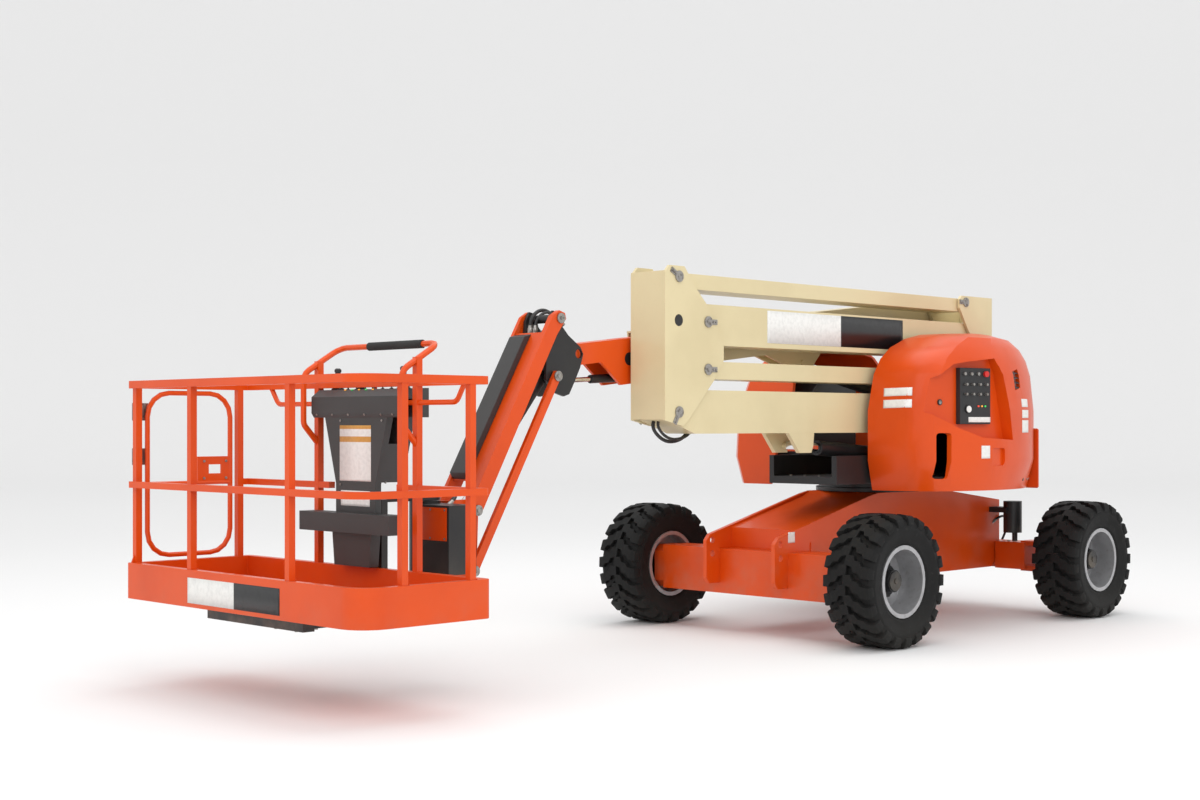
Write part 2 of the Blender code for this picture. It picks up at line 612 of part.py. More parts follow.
def drilled(solid, places, radius=PIN_RADIUS + PIN_PLAY):
    return cut(solid, *[across(x, z, -1, 1, radius, 16) for x, z in places])


def make_lower_arm(cream):
    pins = (PIN_REAR_X, PIN_FRONT_X)
    arm = tower_bar(0.134, -0.13, 0.085, LOWER_ARM_Z, pins, 0.17)
    ram_x, ram_z = TOWER_RAM_EYE
    lug = [(ram_x + 0.21, LOWER_ARM_Z - 0.12), (ram_x + 0.09, ram_z - 0.045), (ram_x - 0.03, ram_z - 0.045),
           (ram_x - 0.05, ram_z), (ram_x - 0.06, LOWER_ARM_Z - 0.12)]
    lugs = [prism(lug, ARM_INNER + 0.001, ARM_INNER + 0.03), prism(lug, ARM_OUTER - 0.03, ARM_OUTER - 0.001)]
    stubs = stub_pins(ram_x, ram_z, TOWER_Y, 0.045 + RUN, (ARM_OUTER - ARM_INNER) / 2 - 0.005, 0.022)
    arm = drilled(fuse(arm, *lugs, *stubs), [(x, LOWER_ARM_Z) for x in pins])
    return node("lower_arm", arm, cream, (pins[0], 0, LOWER_ARM_Z))


def make_lower_link(cream):
    pins = (PIN_REAR_X - PIN_SETBACK, PIN_FRONT_X - PIN_SETBACK)
    link = tower_bar(0.05, -0.058, 0.052, LOWER_LINK_Z, pins)
    return node("lower_link", drilled(link, [(x, LOWER_LINK_Z) for x in pins]), cream, (pins[0], 0, LOWER_LINK_Z))


def make_upper_arm(cream):
    pins = (PIN_REAR_X - PIN_SETBACK, PIN_FRONT_X - PIN_SETBACK)
    arm = tower_bar(0.110, -0.140, 0.085, UPPER_ARM_Z, pins)
    return node("upper_arm", drilled(arm, [(x, UPPER_ARM_Z) for x in pins]), cream, (pins[1], 0, UPPER_ARM_Z))


def make_upper_link(cream):
    pins = (PIN_REAR_X, PIN_FRONT_X)
    link = tower_bar(0.025, -0.068, 0.050, UPPER_LINK_Z, pins)
    return node("upper_link", drilled(link, [(x, UPPER_LINK_Z) for x in pins]), cream, (pins[1], 0, UPPER_LINK_Z))


def make_mid_upright(cream):
    """Channel that joins the lower and the upper arms at their front ends."""
    face = PIN_FRONT_X + UPRIGHT_FACE
    inner_pin = PIN_FRONT_X - PIN_SETBACK
    plate = [(face, LOWER_ARM_Z - 0.05), (face, 2.30), (face - 0.04, 2.343), (PIN_FRONT_X - 0.05, 2.343),
             (PIN_FRONT_X - 0.155, 2.215), (inner_pin + 0.01, 2.125), (inner_pin - 0.145, 1.90),
             (inner_pin - 0.145, 1.79), (inner_pin - 0.055, 1.665), (PIN_FRONT_X - 0.075, LOWER_ARM_Z - 0.06),
             (PIN_FRONT_X - 0.04, LOWER_ARM_Z - 0.085)]
    near = prism(plate, TOWER_OUTER - TOWER_PLATE, TOWER_OUTER)
    far = prism(plate, TOWER_INNER, TOWER_INNER + TOWER_PLATE)
    front = box((face - TOWER_PLATE, face - 0.001), (TOWER_INNER + 0.001, TOWER_OUTER - 0.001),
                (LOWER_ARM_Z - 0.045, 2.31))
    pins = [across(x, z, TOWER_INNER + 0.005, TOWER_OUTER - 0.005, PIN_RADIUS)
            for x, z in ((PIN_FRONT_X, LOWER_ARM_Z), (inner_pin, LOWER_LINK_Z), (inner_pin, UPPER_ARM_Z),
                         (PIN_FRONT_X, UPPER_LINK_Z))]
    sight = across(PIN_FRONT_X, 2.019, -1, 1, 0.036, 16)
    upright = cut(fuse(near, far, front, *pins), sight)
    return node("mid_upright", upright, cream, (PIN_FRONT_X, 0, LOWER_ARM_Z))


def make_rear_upright(cream):
    """Carries the upper arms' rear pins, the boom's pivot and the foot of its lift cylinder."""
    link_pin, arm_pin = PIN_REAR_X, PIN_REAR_X - PIN_SETBACK
    back = arm_pin - 0.085
    boom_x, boom_z = BOOM_PIVOT
    plate = [(back, UPPER_ARM_Z - 0.075), (arm_pin + 0.07, UPPER_ARM_Z - 0.075), (arm_pin + 0.12, UPPER_ARM_Z - 0.03),
             (link_pin - 0.04, 2.07), (link_pin + 0.075, 2.235), (link_pin + 0.075, 2.30), (link_pin + 0.05, 2.325),
             (back, 2.325)]
    near = prism(plate, TOWER_OUTER - TOWER_PLATE, TOWER_OUTER)
    inner_face = BOOM_Y + BASE_HALF_WIDTH + RUN
    far = prism(plate, inner_face, TOWER_INNER + TOWER_PLATE)
    outer_face = BOOM_Y - BASE_HALF_WIDTH - RUN
    cheek = [(back, UPPER_ARM_Z - 0.02), (boom_x + 0.02, UPPER_ARM_Z - 0.02), (boom_x + 0.10, boom_z - 0.06),
             (boom_x + 0.10, 2.325), (back, 2.325)]
    side = prism(cheek, outer_face - TOWER_PLATE, outer_face)
    web = box((back + 0.001, back + TOWER_PLATE), (outer_face - TOWER_PLATE + 0.001, TOWER_INNER + TOWER_PLATE - 0.001),
              (1.90, 2.32))
    bridge = box((back + 0.002, back + TOWER_PLATE - 0.001), (TOWER_INNER + 0.001, TOWER_OUTER - 0.001),
                 (UPPER_ARM_Z + 0.135, 2.319))
    ram_x, ram_z = BOOM_RAM_BASE
    foot = [(back + 0.002, 2.05), (back + 0.002, 1.90), (ram_x - 0.06, ram_z - 0.05), (ram_x + 0.05, ram_z - 0.05),
            (ram_x + 0.05, ram_z + 0.05), (boom_x - 0.04, 1.985), (boom_x - 0.04, 2.05)]
    feet = [prism(foot, BOOM_Y - 0.09, BOOM_Y - 0.07), prism(foot, BOOM_Y + 0.07, BOOM_Y + 0.09)]
    pins = [across(arm_pin, UPPER_ARM_Z, TOWER_INNER + 0.005, TOWER_OUTER - 0.005, PIN_RADIUS),
            across(link_pin, UPPER_LINK_Z, TOWER_INNER + 0.005, TOWER_OUTER - 0.005, PIN_RADIUS),
            across(boom_x, boom_z, outer_face - 0.015, TOWER_INNER + 0.005, PIN_RADIUS),
            across(ram_x, ram_z, BOOM_Y - 0.085, BOOM_Y + 0.085, 0.022)]
    upright = fuse(near, far, side, web, bridge, *feet, *pins)
    return node("rear_upright", upright, cream, (arm_pin, 0, UPPER_ARM_Z))


BOOM_RAM_BASE = (-0.45, 1.55)
BOOM_RAM_LUG = (1.596, -0.213)      # along and above the boom's centreline


# ---- cylinders ----------------------------------------------------------------------------------
def ram_length(base, eye):
    return hypot(eye[0] - base[0], eye[1] - base[1])


def make_ram(name, base, eye, y, sizes, black, steel, inward=0.0):
    """A hydraulic cylinder from its base pin to its rod's eye: a hollow barrel and a rod, drawn level.

    inward is how far the rod goes in from where it is drawn.
    """
    barrel_radius, rod_radius, barrel_length, half_eye, pin = sizes
    length = ram_length(base, eye)
    tilt = degrees(atan2(eye[1] - base[1], eye[0] - base[0]))
    x, z = base
    ring = pin + 0.018
    root = ring + 0.008
    tube = rod((x + ring * 0.6, y, z), (x + barrel_length, y, z), barrel_radius, 16)
    ear = across(x, z, y - half_eye, y + half_eye, ring, 20)
    bore = rod((x + root, y, z), (x + barrel_length + 0.1, y, z), rod_radius + 0.002, 16)
    hole = across(x, z, y - 1, y + 1, pin + PIN_PLAY, 16)
    node(name + "_cylinder", cut(fuse(tube, ear), bore, hole), black, (x, y, z), tilt)
    far = x + length
    shaft = rod((x + root + 0.005 + inward, y, z), (far - 0.01, y, z), rod_radius, 16)
    eye_ring = across(far, z, y - half_eye, y + half_eye, ring, 20)
    eye_hole = across(far, z, y - 1, y + 1, pin + PIN_PLAY, 16)
    bar = cut(fuse(shaft, eye_ring), eye_hole)
    node(name + "_rod", bar, steel, (x, y, z), tilt)


def on_boom(along, above):
    """A place on the stowed boom, from its pivot: world x and z."""
    angle = radians(BOOM_REST)
    x, z = BOOM_PIVOT
    return (x + along * cos(angle) - above * sin(angle), z + along * sin(angle) + above * cos(angle))


# ---- main boom ----------------------------------------------------------------------------------
def make_boom_base(cream):
    """Hollow outer section, drawn level about its pivot."""
    x, z = BOOM_PIVOT
    wide, tall = BASE_HALF_WIDTH, BASE_HALF_HEIGHT
    start, end = x - 0.06, x + BASE_LENGTH
    tube = box((start, end), (BOOM_Y - wide, BOOM_Y + wide), (z - tall, z + tall))
    bore = box((start + 0.30, end + 1), (BOOM_Y - wide + BASE_WALL, BOOM_Y + wide - BASE_WALL),
               (z - tall + BASE_WALL, z + tall - BASE_WALL))
    tube = cut(tube, bore, across(x, z, -1, 1, PIN_RADIUS + PIN_PLAY))
    lug_x, lug_z = x + BOOM_RAM_LUG[0], z + BOOM_RAM_LUG[1]
    lug = [(lug_x - 0.26, z - tall + 0.005), (lug_x - 0.11, lug_z - 0.03), (lug_x + 0.11, lug_z - 0.03),
           (lug_x + 0.40, z - tall + 0.005)]
    lugs = [prism(lug, BOOM_Y + low, BOOM_Y + low + 0.018) for low in (-0.058, 0.040)]
    stubs = stub_pins(lug_x, lug_z, BOOM_Y, 0.041, 0.068, 0.022)
    return node("boom_base", fuse(tube, *lugs, *stubs), cream, (x, BOOM_Y, z), BOOM_REST)


def make_boom_fly(orange):
    """Inner section with its open nose, drawn level about the boom's pivot."""
    x, z = BOOM_PIVOT
    wide, tall = FLY_HALF_WIDTH, FLY_HALF_HEIGHT
    front = x + NOSE_START
    shaft = box((x + 0.55, front + 0.06), (BOOM_Y - wide, BOOM_Y + wide), (z - tall, z + tall))
    pin_x, pin_z = x + NOSE_PIN[0], z + NOSE_PIN[1]
    cheek = [(front, z + tall - 0.001), (front, z - tall - 0.10), (front + 0.14, z - tall - 0.10),
             (front + 0.29, z - tall + 0.05), (pin_x + 0.02, z - tall + 0.05), (pin_x + 0.055, pin_z - 0.02),
             (pin_x + 0.055, pin_z + 0.02), (pin_x + 0.02, z + tall - 0.001)]
    cheeks = [prism(cheek, BOOM_Y - wide, BOOM_Y - wide + 0.02), prism(cheek, BOOM_Y + wide - 0.02, BOOM_Y + wide)]
    roof = box((front + 0.01, pin_x - 0.09), (BOOM_Y - wide + 0.001, BOOM_Y + wide - 0.001), (z + tall - 0.02, z + tall - 0.002))
    pin = across(pin_x, pin_z, BOOM_Y - wide - 0.002, BOOM_Y + wide + 0.002, 0.025)
    stay = across(x + LEVEL_BASE[0], z + LEVEL_BASE[1], BOOM_Y - wide + 0.005, BOOM_Y + wide - 0.005, 0.016)
    fly = fuse(shaft, *cheeks, roof, pin, stay)
    return node("boom_fly", fly, orange, (x, BOOM_Y, z), BOOM_REST)


# ---- jib ----------------------------------------------------------------------------------------
def jib_place(along, above, start=JIB_PIN):
    angle = radians(JIB_REST)
    return (start[0] + along * cos(angle) - above * sin(angle), start[1] + along * sin(angle) + above * cos(angle))


JIB_LINK_PIN = (JIB_PIN[0] + 0.011, JIB_PIN[1] - JIB_PIN_DROP)
KNUCKLE_IN = FLY_HALF_WIDTH + RUN
KNUCKLE_OUT = JIB_HALF_WIDTH - JIB_PLATE - RUN
LEVEL_EYE = (3.139, 1.655)
LEVEL_STROKE = 0.20


def make_knuckle_casting(black):
    """Cast head on the fly's nose, which stays upright and carries the jib's two upper pins."""
    pivot_x, pivot_z = on_boom(*NOSE_PIN)
    top_x, top_z = JIB_PIN
    cheek = [(top_x + 0.05, top_z - 0.01), (top_x + 0.02, top_z + 0.045), (top_x - 0.03, top_z + 0.035),
             (top_x - 0.05, top_z - 0.04), (pivot_x + 0.085, pivot_z + 0.105), (pivot_x - 0.012, pivot_z + 0.04),
             (pivot_x - 0.035, pivot_z), (pivot_x - 0.01, pivot_z - 0.08), (pivot_x + 0.033, pivot_z - 0.16),
             (pivot_x + 0.078, pivot_z - 0.237), (pivot_x + 0.12, pivot_z - 0.25), (pivot_x + 0.19, pivot_z - 0.23),
             (top_x + 0.075, 1.655), (top_x + 0.07, 1.80)]
    cheeks = [prism(cheek, BOOM_Y - KNUCKLE_OUT, BOOM_Y - KNUCKLE_IN), prism(cheek, BOOM_Y + KNUCKLE_IN, BOOM_Y + KNUCKLE_OUT)]
    web = prism([(pivot_x + 0.11, pivot_z + 0.02), (top_x - 0.03, pivot_z - 0.02), (top_x - 0.03, top_z - 0.07),
                 (top_x - 0.05, top_z - 0.06)], BOOM_Y - KNUCKLE_IN - 0.001, BOOM_Y + KNUCKLE_IN + 0.001)
    head = fuse(cheeks[0], cheeks[1], web)
    head = cut(head, across(pivot_x, pivot_z, -1, 1, 0.025 + PIN_PLAY))
    pins = [across(top_x, top_z, BOOM_Y - JIB_HALF_WIDTH - 0.004, BOOM_Y + JIB_HALF_WIDTH + JIB_NEAR_EXTRA + 0.004, 0.025),
            across(*JIB_LINK_PIN, BOOM_Y - KNUCKLE_OUT + 0.005, BOOM_Y + JIB_HALF_WIDTH + 0.004, 0.022),
            *stub_pins(*LEVEL_EYE, BOOM_Y, 0.03 + RUN, KNUCKLE_OUT - 0.005, 0.018)]
    return node("jib_knuckle", fuse(head, *pins), black, (pivot_x, BOOM_Y, pivot_z))


def make_jib_arm(orange):
    """Two side plates and a web between them, drawn level about the top pin."""
    x, z = JIB_PIN
    low, high = -0.025, 0.06
    plate = [(x - 0.045, z - 0.015), (x - 0.02, z - 0.04), (x + 0.10, z + low), (x + JIB_LENGTH, z + low - 0.01),
             (x + JIB_LENGTH + 0.04, z), (x + JIB_LENGTH + 0.03, z + 0.04), (x + JIB_LENGTH - 0.02, z + high),
             (x + 0.02, z + high), (x - 0.035, z + 0.03)]
    plates = [prism(plate, BOOM_Y - JIB_HALF_WIDTH, BOOM_Y - JIB_HALF_WIDTH + JIB_PLATE),
              prism(plate, BOOM_Y + JIB_HALF_WIDTH - JIB_PLATE, BOOM_Y + JIB_HALF_WIDTH + JIB_NEAR_EXTRA)]
    inside = JIB_HALF_WIDTH - JIB_PLATE + 0.001
    web = box((x + 0.12, x + JIB_LENGTH - 0.16), (BOOM_Y - inside, BOOM_Y + inside), (z + 0.034, z + 0.044))
    arm = fuse(plates[0], plates[1], web)
    arm = cut(arm, across(x, z, -1, 1, 0.025 + PIN_PLAY), across(x + JIB_LENGTH, z, -1, 1, 0.022 + PIN_PLAY))
    return node("jib_arm", arm, orange, (x, BOOM_Y, z), JIB_REST)


def make_hose_cover(grey):
    x, z = JIB_PIN
    far = BOOM_Y - JIB_HALF_WIDTH + JIB_PLATE + 0.001
    cover = prism([(x + 0.13, z + 0.044 + FIT), (x + JIB_LENGTH - 0.165, z + 0.044 + FIT),
                   (x + JIB_LENGTH - 0.185, z + 0.085), (x + 0.17, z + 0.085)], far, far + 0.13)
    return node("hose_cover", cover, grey, (x, BOOM_Y, z), JIB_REST)


def make_jib_link(orange):
    x, z = JIB_LINK_PIN
    half = 0.026
    outline = [(x - 0.035, z - half * 0.6), (x - 0.02, z - half), (x + JIB_LENGTH + 0.02, z - half),
               (x + JIB_LENGTH + 0.035, z), (x + JIB_LENGTH + 0.02, z + half), (x - 0.02, z + half)]
    bar = prism(outline, BOOM_Y + JIB_HALF_WIDTH - JIB_PLATE, BOOM_Y + JIB_HALF_WIDTH)
    bar = cut(bar, *[across(x + far, z, -1, 1, 0.022 + PIN_PLAY, 12) for far in (0, JIB_LENGTH)])
    return node("jib_link", bar, orange, (x, BOOM_Y, z), JIB_REST)


def make_platform_support(orange):
    """Upright at the jib's end: cheeks on its two pins, and the shelves that hold the rotator."""
    arm_x, arm_z = jib_place(JIB_LENGTH, 0)
    link_x, link_z = jib_place(JIB_LENGTH, 0, JIB_LINK_PIN)
    cheek = [(arm_x - 0.04, arm_z + 0.02), (arm_x - 0.04, arm_z - 0.05), (link_x - 0.04, link_z - 0.02),
             (link_x - 0.01, link_z - 0.05), (ROTATOR_X - 0.10, link_z - 0.05), (ROTATOR_X - 0.10, arm_z + 0.06),
             (arm_x + 0.02, arm_z + 0.06)]
    cheeks = [prism(cheek, BOOM_Y - KNUCKLE_OUT, BOOM_Y - KNUCKLE_OUT + 0.02),
              prism(cheek, BOOM_Y + KNUCKLE_OUT - 0.02, BOOM_Y + KNUCKLE_OUT)]
    web = box((ROTATOR_X - 0.13, ROTATOR_X - 0.105), (BOOM_Y - KNUCKLE_OUT + 0.001, BOOM_Y + KNUCKLE_OUT - 0.001),
              (link_z - 0.045, arm_z + 0.055))
    pins = [*stub_pins(arm_x, arm_z, BOOM_Y, 0.035 + RUN, JIB_HALF_WIDTH + JIB_NEAR_EXTRA + 0.004, 0.022),
            across(link_x, link_z, BOOM_Y - KNUCKLE_OUT + 0.005, BOOM_Y + JIB_HALF_WIDTH + 0.004, 0.022)]
    return node("platform_support", fuse(cheeks[0], cheeks[1], web, *pins), orange, (arm_x, BOOM_Y, arm_z))


ROTATOR_LOW = 0.585
ROTATOR_HIGH = 0.985


def make_rotator(black):
    """Rotary actuator with the valve box on its left side."""
    body = rod((ROTATOR_X, BOOM_Y, ROTATOR_LOW), (ROTATOR_X, BOOM_Y, ROTATOR_HIGH), 0.085, 20)
    block = box((ROTATOR_X - 0.105 + FIT, ROTATOR_X), (BOOM_Y - 0.07, BOOM_Y + 0.07), (0.62, 0.95))
    cabinet = box((ROTATOR_X - 0.07, ROTATOR_X + 0.12), (BOOM_Y + 0.05, BOOM_Y + 0.35), (0.605, 0.972))
    return node("rotator", fuse(body, block, cabinet), black)


# ---- platform -----------------------------------------------------------------------------------
REAR_X = PLATFORM_FRONT - PLATFORM_DEPTH
FAR_Y = BOOM_Y - PLATFORM_WIDTH / 2
NEAR_Y = BOOM_Y + PLATFORM_WIDTH / 2
POST_Z = (TOE_HIGH - 0.03, RAIL_HIGH - 0.02)


def platform_plan(inset, rear_corner=SQUARE_CORNER):
    """The platform's outline seen from above, with a round front left corner."""
    corners = [(REAR_X + inset, FAR_Y + inset), (PLATFORM_FRONT - inset, FAR_Y + inset),
               (PLATFORM_FRONT - inset, NEAR_Y - inset), (REAR_X + inset, NEAR_Y - inset)]
    bends = [max(radius - inset, 0.002) for radius in (rear_corner, SQUARE_CORNER, CORNER_RADIUS, rear_corner)]
    return rounded(corners, bends, 5)


def make_platform_floor(orange):
    """Floor pan with its toe board."""
    pan = prism(platform_plan(0.0), PLATFORM_LOW, TOE_HIGH, "Z")
    well = prism(platform_plan(0.045), PLATFORM_LOW + 0.035, TOE_HIGH + 1, "Z")
    return node("platform_floor", cut(pan, well), orange, (ROTATOR_X, BOOM_Y, PLATFORM_LOW))


def rail_ring(z, height, width):
    outer = prism(platform_plan(0.004), z - height / 2, z + height / 2, "Z")
    inner = prism(platform_plan(0.004 + width), z - 1, z + 1, "Z")
    return cut(outer, inner)


def square_post(x, y, top):
    half = RAIL_SIZE / 2 - 0.001
    return box((x - half, x + half), (y - half, y + half), (TOE_HIGH - 0.03, top))


def make_platform_rails(orange):
    """Top and middle rails on square posts, the bar behind the console and the guard hoop over it."""
    size = RAIL_SIZE
    top = rail_ring(RAIL_HIGH - 0.02, 0.04, size)
    mid = rail_ring(MID_RAIL_Z, 0.034, size)
    low, high = MID_RAIL_Z - 0.1, MID_RAIL_Z + 0.1
    mid = cut(mid, box(GATE_POSTS, (FAR_Y - 0.1, FAR_Y + 0.08), (low, high)),
              box((REAR_X - 0.1, REAR_X + 0.08), (CONSOLE_Y[0] + 0.08, CONSOLE_Y[1] - 0.08), (low, high)))
    in_line = 0.006 + size / 2
    top_z = RAIL_HIGH - 0.02
    posts = [square_post(PLATFORM_FRONT - in_line, y, top_z) for y in (-0.36, 0.52)]
    posts += [square_post(x, NEAR_Y - in_line, top_z) for x in (5.10, 4.69)]
    posts += [square_post(x, FAR_Y + in_line, top_z) for x in GATE_POSTS]
    posts += [square_post(REAR_X + in_line, y, 1.74) for y in HOOP_Y]
    foot_x = GATE_POSTS[1]
    gusset = prism([(foot_x, TOE_HIGH - 0.02), (PLATFORM_FRONT - 0.01, TOE_HIGH - 0.02), (foot_x, TOE_HIGH + 0.09)],
                   FAR_Y + 0.021, FAR_Y + 0.029)
    hoop_x = REAR_X + in_line

    def leg(y):
        return [(hoop_x, y, 1.29), (hoop_x + 0.10, y, 1.40), (hoop_x + 0.10, y, 1.67), (hoop_x - 0.14, y, 1.815)]

    route = leg(HOOP_Y[1]) + leg(HOOP_Y[0])[::-1]
    hoop = pipe(rounded(route, [0, 0.05, 0.07, 0.06, 0.06, 0.07, 0.05, 0], 3), 0.016, 8)
    bar_z = 1.51
    bar_route = [(hoop_x, 0.945, top_z), (hoop_x, 0.878, bar_z), (hoop_x, -0.665, bar_z), (hoop_x, -0.744, top_z)]
    bar = pipe(rounded(bar_route, [0, 0.05, 0.05, 0], 3), 0.014, 8)
    rails = fuse(top, mid, *posts, gusset, hoop, bar)
    seat = prism(platform_plan(-0.05), 0, TOE_HIGH + FIT, "Z")
    return node("platform_rails", cut(rails, seat), orange, (ROTATOR_X, BOOM_Y, TOE_HIGH))


GATE_POSTS = (4.67, 5.305)
GATE_FRONT = 5.262
GATE_REAR = 4.713
GATE_PIN_X = GATE_FRONT - 0.004


def make_gate(orange):
    """Tube frame with a cross bar and a latch plate; it hangs on its front upright."""
    y = FAR_Y + 0.026
    low, high = TOE_HIGH + 0.03, RAIL_HIGH - 0.062
    front, rear = GATE_FRONT - 0.016, GATE_REAR + 0.016
    frame = pipe(rounded([(front, y, low), (rear, y, low), (rear, y, high), (front, y, high)], 0.13, 4), 0.014, 8, True)
    bar = rod((front, y, MID_RAIL_Z), (rear, y, MID_RAIL_Z), 0.012, 8)
    latch = box((rear - 0.005, rear + 0.21), (y - 0.006, y + 0.006), (MID_RAIL_Z + 0.0, MID_RAIL_Z + 0.145))
    window = box((rear + 0.06, rear + 0.14), (y - 0.1, y + 0.1), (MID_RAIL_Z + 0.05, MID_RAIL_Z + 0.10))
    return node("gate", fuse(frame, bar, cut(latch, window)), orange, (GATE_PIN_X, y, low))


CONSOLE_Y = (-0.244, 0.50)
CONSOLE_FRONT = 4.68


def make_console(grey):
    """Platform control console: it sits astride the rear rails and tapers down to a tray and a foot."""
    right, left = CONSOLE_Y
    middle = (left + right) / 2
    back = 4.475
    inside = REAR_X + 0.048
    head = prism([(back, 1.436), (CONSOLE_FRONT - 0.015, 1.436), (CONSOLE_FRONT, 1.46), (CONSOLE_FRONT, 1.545),
                  (CONSOLE_FRONT - 0.05, 1.583), (back, 1.587)], right, left)
    pedestal = prism([(middle - 0.27, 1.44), (middle - 0.17, 1.09), (middle - 0.17, 0.93), (middle + 0.17, 0.93),
                      (middle + 0.17, 1.09), (middle + 0.27, 1.44)], back + 0.01, CONSOLE_FRONT - 0.015, "X")
    tray = box((inside, inside + 0.11), (middle - 0.40, middle + 0.38), (0.84, 0.94))
    foot = prism([(middle - 0.17, 0.85), (middle - 0.15, 0.665), (middle + 0.15, 0.665), (middle + 0.17, 0.85)],
                 inside + 0.001, CONSOLE_FRONT + 0.01, "X")
    saddle = box((REAR_X - 0.01, inside - 0.003), (-2, 2), (1.49, 1.53))
    groove = box((REAR_X - 0.01, inside - 0.003), (-2, 2), (1.30, 1.50))
    strip = box((4.0, inside - 0.002), (-2, 2), (0.5, 1.10))
    return node("control_console", cut(fuse(head, pedestal, tray, foot), saddle, groove, strip), grey)


def make_platform_mount(black):
    """Fork on the rotator's two ends, its upright, and the beams under the floor."""
    low, high = ROTATOR_LOW - 0.004, ROTATOR_HIGH + 0.004
    stem = REAR_X - 0.04 - FIT
    fork = arc((ROTATOR_X, BOOM_Y), 0.085, 90, 270, 8) + [(stem + 0.02, BOOM_Y - 0.085), (stem + 0.02, BOOM_Y + 0.085)]
    top = prism(fork, high, high + 0.025, "Z")
    bottom = prism(fork, low - 0.025, low, "Z")
    upright = box((stem, stem + 0.04), (BOOM_Y - 0.18, BOOM_Y + 0.18), (0.37, high + 0.02))
    pieces = [bottom, upright]
    for y in (BOOM_Y - 0.16, BOOM_Y + 0.12):
        pieces.append(box((stem + 0.005, 5.08), (y, y + 0.04), (0.372, PLATFORM_LOW - FIT)))
    pieces.append(box((5.04, 5.11), (BOOM_Y - 0.64, BOOM_Y + 0.24), (0.37, 0.42)))
    return node("platform_mount", fuse(top, *pieces), black, (ROTATOR_X, BOOM_Y, low))


# ---- the whole machine --------------------------------------------------------------------------
def main():
    clear_scene()
    orange = paint("orange_paint", ORANGE, 0.4)
    cream = paint("cream_paint", CREAM, 0.45)
    black = paint("black_paint", BLACK, 0.5)
    grey = paint("grey_plastic", GREY, 0.6)
    steel = paint("steel", STEEL, 0.3, 0.9)
    rubber = paint("tyre_rubber", RUBBER, 0.85)

    for end, x in (("front", AXLE_X), ("rear", -AXLE_X)):
        for hand, side in (("left", 1), ("right", -1)):
            make_tyre(f"tyre_{end}_{hand}", x, side, rubber)
            make_rim(f"rim_{end}_{hand}", x, side, steel)
    make_chassis(orange)
    make_drive_axle(orange)
    make_steer_axle(orange)
    for hand, side in (("left", 1), ("right", -1)):
        make_knuckle(f"steer_knuckle_{hand}", side, orange)
        make_lockout(f"lockout_cylinder_{hand}", side, black)
    make_steering_cylinder(black, steel)
    make_bearing(black)

    make_turntable(black)
    make_counterweight(orange)
    make_left_hood(orange)
    make_right_hood(orange)
    make_control_panel(black)
    make_engine(black)

    make_lower_arm(cream)
    make_lower_link(cream)
    make_mid_upright(cream)
    make_upper_arm(cream)
    make_upper_link(cream)
    make_rear_upright(cream)
    make_ram("tower", TOWER_RAM_BASE, TOWER_RAM_EYE, TOWER_Y, (0.05, 0.032, 1.15, 0.045, 0.02), black, steel)
    make_ram("boom", BOOM_RAM_BASE, on_boom(*BOOM_RAM_LUG), BOOM_Y, (0.05, 0.032, 0.95, 0.034, 0.022), black, steel)

    make_boom_base(cream)
    make_boom_fly(orange)
    make_knuckle_casting(black)
    make_jib_arm(orange)
    make_hose_cover(grey)
    make_jib_link(orange)
    make_platform_support(orange)
    make_ram("jib", JIB_LINK_PIN, jib_place(JIB_LENGTH, 0), BOOM_Y, (0.036, 0.02, 0.74, 0.035, 0.022), black, steel)
    make_ram("level", on_boom(*LEVEL_BASE), LEVEL_EYE, BOOM_Y, (0.026, 0.015, 0.285, 0.03, 0.016), black, steel,
             LEVEL_STROKE)
    make_rotator(black)
    make_platform_floor(orange)
    make_platform_rails(orange)
    make_gate(orange)
    make_console(grey)
    make_platform_mount(black)


main()
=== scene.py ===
import json
import math

import bmesh
import bpy
from mathutils import Matrix, Vector
from mathutils.bvhtree import BVHTree


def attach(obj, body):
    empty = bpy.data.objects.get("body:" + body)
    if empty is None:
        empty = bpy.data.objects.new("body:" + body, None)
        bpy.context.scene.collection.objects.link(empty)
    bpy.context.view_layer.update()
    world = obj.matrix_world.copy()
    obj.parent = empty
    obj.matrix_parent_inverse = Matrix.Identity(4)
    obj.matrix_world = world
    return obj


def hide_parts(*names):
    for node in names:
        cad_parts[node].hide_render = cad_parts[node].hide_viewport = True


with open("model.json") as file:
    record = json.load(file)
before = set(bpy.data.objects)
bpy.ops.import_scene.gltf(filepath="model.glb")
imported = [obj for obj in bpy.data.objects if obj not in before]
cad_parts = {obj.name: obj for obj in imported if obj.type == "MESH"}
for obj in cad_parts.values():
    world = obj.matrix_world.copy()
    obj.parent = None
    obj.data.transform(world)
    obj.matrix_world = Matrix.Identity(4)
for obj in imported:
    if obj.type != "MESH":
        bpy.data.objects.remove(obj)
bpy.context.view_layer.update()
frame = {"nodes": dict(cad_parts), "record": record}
cadNodes = frame["nodes"]
swingAxisX = -1.8625  # where the turntable's axis stands in the row frame


def at(x, y, z):
    # places are thought of from the swing axis at ground level, then moved into the row frame
    return Vector((x + swingAxisX, y, z))


# ---------- shader maths as plain expressions
def plug(tree, socket, value):
    if isinstance(value, Wire):
        tree.links.new(value.socket, socket)
    elif isinstance(value, (tuple, list)) and socket.type == "RGBA" and len(value) == 3:
        socket.default_value = (*value, 1.0)
    else:
        socket.default_value = value


